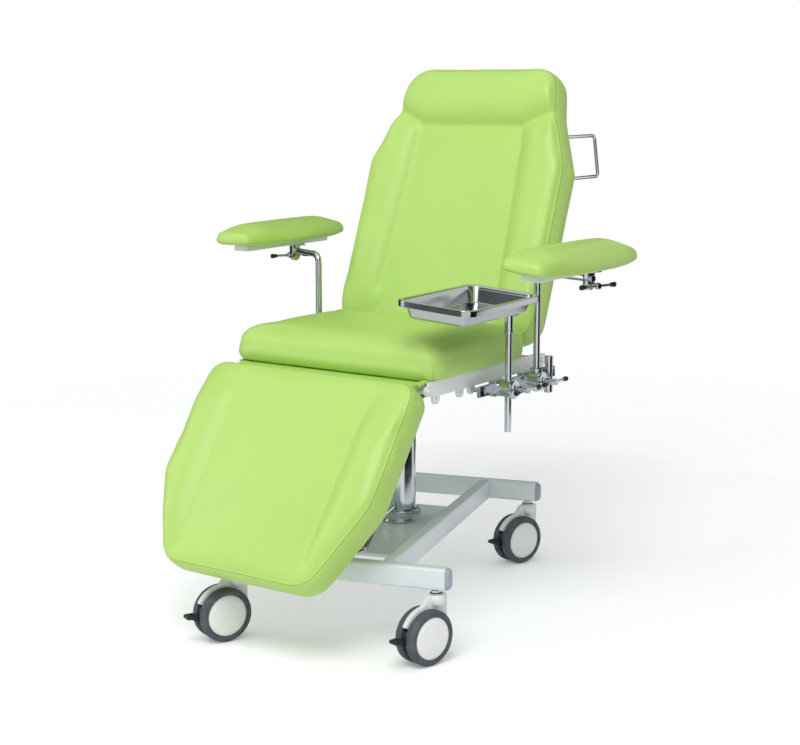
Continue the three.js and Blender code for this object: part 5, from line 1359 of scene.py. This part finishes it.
@dataclass(frozen=True)
class Casters:
    """Four twin-wheel casters, each with a hood, two wheels and a brake pedal."""

    shop: Workshop
    base: Base
    radius: float = 62.5
    width: float = 23.0
    gap: float = 15.0
    trail: float = 35.0

    def build(self) -> None:
        """Builds the four casters at the ends of the base's cross bars."""
        front = -self.base.setback - self.base.wheelbase / 2
        rear = -self.base.setback + self.base.wheelbase / 2
        half = self.base.track / 2
        for name, x, y, swivel in (("front_right", -half, front, 39), ("front_left", half, front, 30),
                                   ("rear_left", half, rear, 34), ("rear_right", -half, rear, 46)):
            self._caster(name, Place.at(x, y, 0, about_z=-swivel).within(self.base.place))

    def _caster(self, name: str, place: Place) -> None:
        """One caster at its place, rolling towards its local +Y."""
        finish, axle = self.shop.finish, (-self.trail, self.radius)
        wheels = Shell(f"{name}_tyres")
        discs = Shell(f"{name}_discs")
        r, w = self.radius, self.width
        tyre = soften([(49.5, 1.0), (r - 2.5, 0.2), (r, 3), (r, w - 6.5), (r - 5.5, w), (50.0, w + 0.2),
                       (48.0, w - 2.0), (48.0, 3.0), (49.5, 1.0)], 2.2)
        dish = soften([(0, w + 4.6), (16, w + 4.2), (40, w + 1.8), (47.6, w - 2.2),
                       (47.6, 2.5), (0, 2.5)], 1.8)
        for side in (-1, 1):
            wheel = Place.at(side * self.gap / 2, axle[0], axle[1], about_y=side * 90).within(place)
            wheels.add(turned(tyre, 72), wheel, capped=False)
            discs.add(turned(dish, 72), wheel, capped=False)
        discs.add(bar(disc(6), (-self.gap / 2 - 3, axle[0], axle[1]), (self.gap / 2 + 3, axle[0], axle[1])), place)
        node, body = f"caster_{name}_wheels", f"caster_{name}_wheels"
        self.shop.fit(wheels.build(), body, Slot.TYRE, finish.rubber, node)
        self.shop.fit(discs.build(), body, Slot.HOOD, finish.disc, node)
        self._hood(name, place, axle)
        self._brake(name, place, axle)

    def _hood(self, name: str, place: Place, axle: tuple[float, float]) -> None:
        """The web between the wheels, the neck above it, and the steel stem with its nut."""
        finish = self.shop.finish
        shell = Shell(f"{name}_hood")
        y, z = axle
        arc = np.radians(np.linspace(97, 152, 16))
        outer = np.stack([y + 67.5 * np.cos(arc), z + 67.5 * np.sin(arc)], axis=1)
        inner_arc = np.radians(np.linspace(152, 128, 6))
        inner = np.stack([y + 41 * np.cos(inner_arc), z + 41 * np.sin(inner_arc)], axis=1)
        hub_arc = np.radians(np.linspace(128, 330, 20))
        hub = np.stack([y + 15 * np.cos(hub_arc), z + 15 * np.sin(hub_arc)], axis=1)
        neck = soften([(28, z + 15), (28, 150), (-28, 150), (-36, 131)], 8, 6)
        outline = np.concatenate([neck[:-1], outer, inner, hub])
        shell.add(self._plate(outline, 12.0, 1.5), place)
        crown = soften([(0, 122), (10, 122), (17, 126), (20, 134), (20, 144), (16, 150.5), (0, 151)], 4)
        shell.add(turned(crown, 40), place, capped=False)
        self.shop.fit(shell.build(), f"caster_{name}", Slot.HOOD, finish.hood, f"caster_{name}_hood")
        steel = Shell(f"{name}_stem")
        stem = soften([(0, 149), (6, 149), (6, 180), (0, 180)], 0.6)
        steel.add(turned(stem, 24), place, capped=False)
        hexagon = [(11.2 * math.cos(a), 11.2 * math.sin(a)) for a in np.arange(6) * np.pi / 3]
        steel.add(bar(polygon(hexagon), (0, 0, 153.6), (0, 0, 160.4), up=(1, 0, 0), edge=0.9), place)
        washer = soften([(0, 151.2), (14, 151.2), (14, 153.2), (0, 153.2)], 0.4)
        steel.add(turned(washer, 32), place, capped=False)
        self.shop.fit(steel.build(), f"caster_{name}", Slot.CHROME, finish.chrome, f"caster_{name}_hood")

    @staticmethod
    def _plate(outline: Array, width: float, edge: float) -> Array:
        """An outline in the Y, Z plane carried across X, its rims drawn in by a rounding."""
        middle = outline.mean(axis=0)
        theta = np.linspace(0, np.pi / 2, 4)
        x = np.concatenate([-width / 2 + edge * (1 - np.cos(theta)), width / 2 - edge * (1 - np.cos(theta[::-1]))])
        inset = np.concatenate([edge * (1 - np.sin(theta)), edge * (1 - np.sin(theta[::-1]))])
        drawn = middle + (outline - middle)[None] * (1 - inset / 40)[:, None, None]
        return np.concatenate([np.repeat(x[:, None, None], len(outline), 1), drawn], axis=-1)

    def _brake(self, name: str, place: Place, axle: tuple[float, float]) -> None:
        """The black block between the wheels and the ribbed tread that a foot presses."""
        y, z = axle
        shell = Shell(f"{name}_pedal")
        up = np.radians(np.linspace(205, 150, 12))
        near = np.stack([y + 20 * np.cos(up), z + 20 * np.sin(up)], axis=1)
        rim = np.radians(np.linspace(158, 176, 8))
        far = np.stack([y + 57.5 * np.cos(rim), z + 57.5 * np.sin(rim)], axis=1)
        low = math.radians(205)
        tail = np.array([[y - 90, z + 8], [y - 90, z + 1],
                         [y + 57.5 * math.cos(low), z + 57.5 * math.sin(low) / 2]])
        start = np.array([[y + 36 * math.cos(up[-1]), z + 36 * math.sin(up[-1])]])
        shell.add(self._plate(np.concatenate([near, start, far, tail]), 12.0, 1.2), place)
        tread = rounded_rect(27, 8.6, 3.4, 5)
        shell.add(bar(tread, (0, y - 91.5, z + 4.2), (0, y - 67.5, z + 4.2), edge=2.6), place)
        for step in range(4):
            at = y - 87 + step * 5.2
            rib = bar(disc(1.1, 10), (-11, at, z + 8.3), (11, at, z + 8.3), edge=0.6)
            shell.add(rib, place)
        node = f"caster_{name}_brake"
        self.shop.fit(shell.build(), node, Slot.BLACK, self.shop.finish.black, node)


# Rails, clamps, armrests and tray


@dataclass(frozen=True)
class Clamps:
    """The side rails and the clamps, sleeves, posts and handles on them."""

    shop: Workshop
    rail_x: float = 308.0
    rail_z: float = 555.0
    post_x: float = 338.0

    def rails(self) -> None:
        """Two flat bars, each on two round standoffs, with their edges broken."""
        section = rounded_rect(9, 26, 2.2, 4)
        for side, name in ((1, "left"), (-1, "right")):
            x = side * self.rail_x
            shell = Shell(f"{name}_rail").add(bar(section, (x, -124, self.rail_z), (x, 226, self.rail_z), edge=1.2))
            for y in (-100, 196):
                for radius, steps, near, far, edge in ((5.5, 20, 275.3, 304.5, 0.4), (7.5, 24, 311.8, 313.4, 0.7)):
                    shell.add(bar(disc(radius, steps), (side * near, y, self.rail_z),
                                  (side * far, y, self.rail_z), edge=edge))
            self.shop.fit(shell.build(), "seat", Slot.CHROME, self.shop.finish.chrome, f"{name}_accessory_rail")

    def jaw(self, shell: Shell, place: Place, half: float) -> None:
        """A C-shaped jaw round the rail: its section carried along the rail."""
        inner, outer = self.rail_x - 9.8, self.rail_x + 10.8
        high, low = self.rail_z + 18.3, self.rail_z - 18.3
        slot_in, slot_out = self.rail_x - 4.8, self.rail_x + 4.8
        slot_high, slot_low = self.rail_z + 13.3, self.rail_z - 13.3
        points = soften([
            (outer, self.rail_z), (outer, high), (inner, high), (inner, slot_high - 5), (slot_in, slot_high - 5),
            (slot_in, slot_high), (slot_out, slot_high), (slot_out, slot_low), (slot_in, slot_low),
            (slot_in, slot_low + 5), (inner, slot_low + 5), (inner, low), (outer, low),
            (outer, self.rail_z)], 1.0, 2)[:-1]
        y = np.array([-half, half])[:, None]
        grid = np.stack(np.broadcast_arrays(points[None, :, 0], y, points[None, :, 1]), axis=-1)
        shell.add(grid, place)

    def clamp(self, name: str, place: Place, body: str, bore: float, node: str) -> None:
        """Jaw, round drum with a ring, and the screw's boss beside it.

        Args:
            name: The piece's name.
            place: Where the clamp stands on its rail.
            body: The body that it rides on.
            bore: The radius of the hole that the post or sleeve goes through.
            node: The CAD node that it stands for.
        """
        shell, z = Shell(name), self.rail_z
        self.jaw(shell, place, 22)
        drum = soften([(0, 0), (20, 0), (20, 34), (23, 35), (23, 42.5), (20.5, 44), (0, 44)], 1.6)
        shell.add(turned(drum, 56), Place.at(313.5, 0, z, about_y=90).within(place), capped=False)
        cap = soften([(0, 0), (11.5, 0), (10, 2.2), (0, 2.8)], 1.0)
        shell.add(turned(cap, 40), Place.at(357.2, 0, z, about_y=90).within(place), capped=False)
        boss = soften([(0, 0), (11, 0), (11, 41), (9, 43), (0, 43)], 1.4)
        shell.add(turned(boss, 36), Place.at(313.2, 32, z - 5, about_y=90).within(place), capped=False)
        shell.add(bar(rounded_rect(11, 29, 3, 4), (328, 2, z - 5), (328, 32, z - 5), edge=1.0), place)
        shell.add(bar(rounded_rect(6, 22, 2, 4), (316, 6, z - 5), (316, 43, z - 5), edge=2.0), place)
        piece = shell.build()
        pin = bar(disc(bore, 40), (self.post_x, 0, z - 40), (self.post_x, 0, z + 40), up=(1, 0, 0), edge=0.1)
        hole = Shell(f"{name}_hole").add(pin, place).build()
        cut = piece.modifiers.new("hole", "BOOLEAN")
        cut.object, cut.operation, cut.solver = hole, "DIFFERENCE", "EXACT"
        cut.use_self = True
        Pad.apply(piece)
        bpy.data.objects.remove(hole)
        piece.data.shade_smooth()
        piece.data.set_sharp_from_angle(angle=math.radians(SHARP))
        self.shop.fit(piece, body, Slot.CHROME, self.shop.finish.chrome, node)

    def handle(self, name: str, place: Place, start: float, end: float, y: float, z: float, body: str,
               node: str) -> None:
        """A screw with a nut and a thin cross bar, and black cones on the bar's ends."""
        chrome = Shell(f"{name}_bar")
        chrome.add(bar(disc(5, 20), (start, y, z), (end, y, z), edge=0.6), place)
        nut = soften([(0, 0), (6.6, 0), (8, 2.5), (8, 9.5), (6.6, 12), (0, 12)], 1.2)
        chrome.add(turned(nut, 28), Place.at(end - 6, y, z, about_y=90).within(place), capped=False)
        chrome.add(bar(disc(3.4, 20), (end, y - 46, z), (end, y + 46, z), edge=0.5), place)
        self.shop.fit(chrome.build(), body, Slot.CHROME, self.shop.finish.chrome, node)
        tips = Shell(f"{name}_tips")
        cone = soften([(0, 0), (4.2, 0), (4.6, 1.5), (6.4, 14.5), (5.2, 17.4), (0, 18)], 1.8)
        for side in (-1, 1):
            spot = Place.at(end, y + side * 39, z, about_x=-side * 90).within(place)
            tips.add(turned(cone, 28), spot, capped=False)
        self.shop.fit(tips.build(), body, Slot.BLACK, self.shop.finish.black, node)


@dataclass(frozen=True)
class Armrest:
    """One armrest: clamp, sleeve, bent post, bracket, two handles, pad rail and pad."""

    shop: Workshop
    clamps: Clamps
    name: str
    side: int
    rail_y: float
    reach: float
    swing: float
    pad_yaw: float
    pad_offset: float
    pad_roll: float = 0.0
    tube_z: float = 814.0
    length: float = 456.0
    width: float = 146.0

    def build(self) -> None:
        """Builds the armrest on its rail."""
        finish, n = self.shop.finish, self.name
        group = Place.at(0, self.rail_y, 0, about_z=0 if self.side > 0 else 180)
        swing = self.side * self.swing
        sleeve_radius = 12.0
        self.clamps.clamp(f"{n}_clamp", group, f"{n}_clamp", sleeve_radius + 0.6, f"{n}_rail_clamp")
        sleeve = soften([(8.6, 535), (12, 535), (12, 579), (16, 579.5), (16, 584), (12.5, 585), (8.6, 585),
                         (8.6, 535)], 0.8)
        x = self.clamps.post_x
        collar = Shell(f"{n}_sleeve").add(turned(sleeve, 48), Place.at(x).within(group), capped=False)
        self.shop.fit(collar.build(), f"{n}_sleeve", Slot.CHROME, finish.chrome, f"{n}_post_sleeve")
        angle = math.radians(swing)
        end = self.reach + 15
        path = route([(x, 0, 529), (x, 0, self.tube_z),
                      (x + end * math.cos(angle), end * math.sin(angle), self.tube_z)], 26, 20)
        post = Shell(f"{n}_post").add(
            prism(disc(8, 40), path, (-math.sin(angle), math.cos(angle), 0), 1.4), group)
        self.shop.fit(post.build(), f"{n}_post", Slot.CHROME, finish.chrome, f"{n}_arm_post")
        self.clamps.handle(f"{n}_clamp_screw", group, 340, 372, 32, 550, f"{n}_clamp_handle", f"{n}_clamp_handle")
        bracket = Place.at(x + self.reach * math.cos(angle), self.reach * math.sin(angle), self.tube_z,
                           about_z=swing).within(group)
        self._bracket(bracket)
        pad = Place.at(0, 0, 18.3, about_z=self.pad_yaw - swing).within(bracket)
        self._pad(pad, -self.side * self.pad_offset)

    def _bracket(self, place: Place) -> None:
        """A slim fork on the tube with a plate on top and the tilt screw below."""
        n = self.name
        shell = Shell(f"{n}_bracket_block")
        shell.add(bar(rounded_rect(24, 29, 3, 5), (-8, 0, -0.5), (8, 0, -0.5), edge=1.4), place)
        shell.add(bar(rounded_rect(44, 4, 1.4, 3), (-20, 0, 16), (20, 0, 16), edge=1.2), place)
        shell.add(bar(disc(12, 40), (-8, 0, -14), (8, 0, -14), edge=1.2), place)
        self.shop.fit(shell.build(), f"{n}_bracket", Slot.CHROME, self.shop.finish.chrome, f"{n}_arm_bracket")
        self.clamps.handle(f"{n}_tilt_screw", place, 7.3, 29, 0, -15, f"{n}_tilt_handle", f"{n}_tilt_handle")

    def _pad(self, place: Place, offset: float) -> None:
        """The box bar under the pad, and the boat-shaped pad on it."""
        n = self.name
        place = Place.at(about_y=self.pad_roll).within(place)
        rail = Shell(f"{n}_channel")
        section = rounded_rect(42, 14, 1.6, 3)
        rail.add(bar(section, (0, offset - 184, 7), (0, offset + 184, 7), edge=0.8), place)
        self.shop.fit(rail.build(), f"{n}_pad", Slot.PAINT, self.shop.finish.paint, f"{n}_pad_rail")
        length, width = self.length, self.width
        share = np.linspace(0, 1, 19)
        bow = np.abs(2 * share - 1) ** 2.6
        edge = width / 2 * (1 - 0.30 * bow)
        right = [(float(e), float(s * length)) for e, s in zip(edge, share)]
        left = [(-x, y) for x, y in reversed(right)]
        corners = tuple([*right, (0.0, length + 9.0), *left, (0.0, -9.0)])
        radii = tuple([26.0] + [60.0] * 17 + [26.0, 90.0, 26.0] + [60.0] * 17 + [26.0, 90.0])

        def towards_tip(y: Array) -> Array:
            """0 over the middle of the pad and 1 at its two tips."""
            return smooth((np.abs(2 * y / length - 1) - 0.62) / 0.4)

        def relief(x: Array, y: Array) -> Array:
            """A dome that falls off towards the sides and towards the tips."""
            dome = np.clip(1 - (x / (width / 2)) ** 2, 0, 1) ** 0.8
            return 27 * dome * (1 - 0.62 * towards_tip(y))

        def bend(points: Array) -> Array:
            """The underside's rise towards the tips."""
            low = np.clip(1 - points[:, 2] / 24, 0, 1)
            return np.outer(4 * towards_tip(points[:, 1]) * low, (0, 0, 1))

        pad = Pad(f"{n}_arm_cushion", Outline(corners, radii, 3, 5), thickness=26, edge=13, tuck=8,
                  place=Place.at(0, offset - length / 2, 14.3).within(place), relief=relief, crease=no_crease,
                  voxel=4.5, cap=3, side_bulge=1.0, bend=bend)
        piece = pad.build()
        self.shop.fit(piece, f"{n}_pad", Slot.VINYL, self.shop.finish.flap, f"{n}_arm_pad")


@dataclass(frozen=True)
class Tray:
    """The pressed steel tray with its rolled rim, on a post in a rail clamp."""

    shop: Workshop
    clamps: Clamps
    rail_y: float = -42.0
    length: float = 345.0
    width: float = 193.0
    depth: float = 42.0
    rim_z: float = 779.0
    centre: tuple[float, float] = (303.0, -160.0)
    slope: float = 4.5
    yaw: float = 3.0

    def build(self) -> None:
        """Builds the clamp, the post and the tray."""
        finish, x = self.shop.finish, self.clamps.post_x
        group = Place.at(0, self.rail_y)
        self.clamps.clamp("tray_clamp_body", group, "tray_clamp", 8.5, "tray_rail_clamp")
        self.clamps.handle("tray_screw", group, 340, 372, 32, 550, "tray_clamp_handle", "tray_clamp_handle")
        top = self.rim_z - self.depth - 22
        post = Shell("tray_stem").add(bar(disc(8, 40), (x, 0, 453), (x, 0, top), up=(1, 0, 0), edge=1.0), group)
        ring = soften([(8, 0), (10.6, 0), (10.6, 7), (8, 7), (8, 0)], 0.8)
        post.add(turned(ring, 40), Place.at(x, 0, top - 22 - 0.3 - 7).within(group), capped=False)
        self.shop.fit(post.build(), "tray_post", Slot.CHROME, finish.chrome, "tray_post")
        floor_z = self.rim_z - self.depth
        dx, dy = self.centre[0] - x, self.centre[1] - self.rail_y
        place = Place.at(x + dx, dy, floor_z, about_y=self.slope, about_z=self.yaw).within(group)
        pan = Shell("tray_pan").add(self._pan(), place, capped=False).build(40)
        self.shop.fit(pan, "tray", Slot.STEEL, finish.steel, "tray")
        lift = floor_z + dx * math.tan(math.radians(self.slope))
        socket = Shell("tray_socket")
        tube = soften([(8.5, top - 22), (10.2, top - 22), (10.2, lift), (8.5, lift), (8.5, top - 22)], 0.6)
        socket.add(turned(tube, 40), Place.at(x).within(group), capped=False)
        flange = soften([(0, -5), (24, -5), (24, 0), (0, 0)], 1.0)
        rest = Place.at(x, 0, lift, about_y=self.slope, about_z=self.yaw).within(group)
        socket.add(turned(flange, 48), rest, capped=False)
        self.shop.fit(socket.build(), "tray", Slot.CHROME, finish.chrome, "tray")

    def _pan(self) -> Array:
        """The tray's sheet: a profile from the floor's middle out over the rim and back under.

        Each profile point gives an inset from the rim's outline and a height. The outline is a rectangle
        whose corner radius follows the inset, so that walls and floor meet in soft corners.

        Returns:
            A grid of points, closed around.
        """
        depth = self.depth
        profile = soften([
            (self.width / 2 - 2, 2.5), (27, 2.5), (22.5, 4.5), (11.5, depth - 3.5), (8.0, depth - 0.3),
            (3.0, depth), (0.3, depth - 1.0), (0.0, depth - 4), (0.0, depth - 14.5),
            (1.0, depth - 15.5), (1.9, depth - 14.5),
            (2.1, depth - 3.6), (8.6, depth - 3.8), (13.5, depth - 8), (24, 2.2), (28, 0.2),
            (self.width / 2 - 2, 0.2)], 2.0, 5)
        rings = []
        for inset, z in profile:
            corner = max(30 - 0.55 * inset, 1.0)
            ring = rounded_rect(self.width - 2 * inset, self.length - 2 * inset, corner, 10)(0)
            rings.append(np.concatenate([ring, np.full((len(ring), 1), z)], axis=1))
        rings = np.stack(rings)
        low = rings.mean(axis=1, keepdims=True)
        first, last = np.repeat(low[:1], rings.shape[1], 1), np.repeat(low[-1:], rings.shape[1], 1)
        return np.concatenate([first, rings, last])


@dataclass(frozen=True)
class Fittings:
    """Push loops, pole socket, release lever, gas springs, and the CAD nodes that keep their shape."""

    shop: Workshop
    clamps: Clamps
    pads: Upholstery

    def build(self) -> None:
        """Builds the small fittings and dresses the frames."""
        finish = self.shop.finish
        self._loops()
        socket = Shell("pole_holder")
        place = Place.at(0, 162)
        self.clamps.jaw(socket, place, 12)
        tube = soften([(0, 520), (6.9, 520), (6.9, 602), (8, 603.6), (10, 602), (10, 515), (9, 514), (0, 514)], 0.8)
        socket.add(turned(tube, 40), Place.at(330).within(place), capped=False)
        socket.add(bar(rounded_rect(14, 20, 2, 3), (317.5, 0, 555), (325, 0, 555), edge=0.6), place)
        self.shop.fit(socket.build(), "pole_socket", Slot.CHROME, finish.chrome, "pole_socket")
        self._lever()
        # The frames take the lighter paint, painted light against the seat's shade.
        for node in ("seat_frame", "back_frame", "leg_frame"):
            self.shop.dress(node, finish.lightened_frame_paint)
        for name in ("back", "leg"):
            self.shop.dress(f"{name}_gas_spring_tube", finish.black_paint)
            self.shop.dress(f"{name}_gas_spring_rod", finish.chrome)

    def _loops(self) -> None:
        """A bent round bar on two round feet, on each side of the back."""
        lean = self.pads.back_lean
        hinge = Place.at(0, *self.pads.back_hinge, 90 - lean)
        z = 30 - 0.3 - 14 - 0.3
        slant = math.tan(math.radians(lean))
        for side, name in ((1, "left"), (-1, "right")):
            x = side * 226
            path = route([(x, 574, z - 2), (x, 574 + 138 * slant, z - 138), (x, 460 + 200 * slant, z - 200),
                          (x, 460, z - 2)], 14, 14)
            shell = Shell(f"{name}_loop").add(prism(disc(4.5, 28), path, (1, 0, 0), 0.8), hinge)
            foot = soften([(0, 0), (9.5, 0), (11, 1.2), (11, 4), (0, 4)], 0.8)
            for y in (460, 574):
                shell.add(turned(foot, 32), Place.at(side * (226 - 6.5), y, z - 4).within(hinge), capped=False)
            self.shop.fit(shell.build(), "back", Slot.CHROME, self.shop.finish.chrome, f"{name}_push_loop")

    def _lever(self) -> None:
        """A black rod with a ribbed grip under the seat's right side."""
        z, x = 550.0, -236.0
        path = route([(x + 16, 40, z), (x - 50, 40, z), (x - 50, -38, z)], 12)
        shell = Shell("lever").add(prism(disc(4, 20), path, (0, 0, 1), 0.8))
        run = np.linspace(0, 68, 69)
        ribs = np.stack([6.2 + 0.3 * np.cos(run * 2 * np.pi / 5), run], axis=1)
        grip = np.concatenate([[[3.9, 0]], ribs, [[3.9, 68]]])
        shell.add(turned(grip, 28), Place.at(x - 50, 16, z, about_x=90))
        self.shop.fit(shell.build(), "release_lever", Slot.BLACK, self.shop.finish.black, "release_lever")


def main() -> None:
    """Builds the chair, one sub-assembly after another."""
    logging.basicConfig(level=logging.INFO, format="%(message)s")
    shop = Workshop()
    Studio().build()
    base = Base(shop)
    base.build()
    Casters(shop, base).build()
    pads = Upholstery(shop)
    pads.build()
    clamps = Clamps(shop)
    clamps.rails()
    Armrest(shop, clamps, "left", 1, rail_y=88.0, reach=166.0, swing=-16.0, pad_yaw=0.0, pad_offset=86.0,
            pad_roll=7.0).build()
    Armrest(shop, clamps, "right", -1, rail_y=122.0, reach=128.0, swing=23.0, pad_yaw=4.0, pad_offset=57.0).build()
    Tray(shop, clamps).build()
    Fittings(shop, clamps, pads).build()


if __name__ == "__main__":
    main()
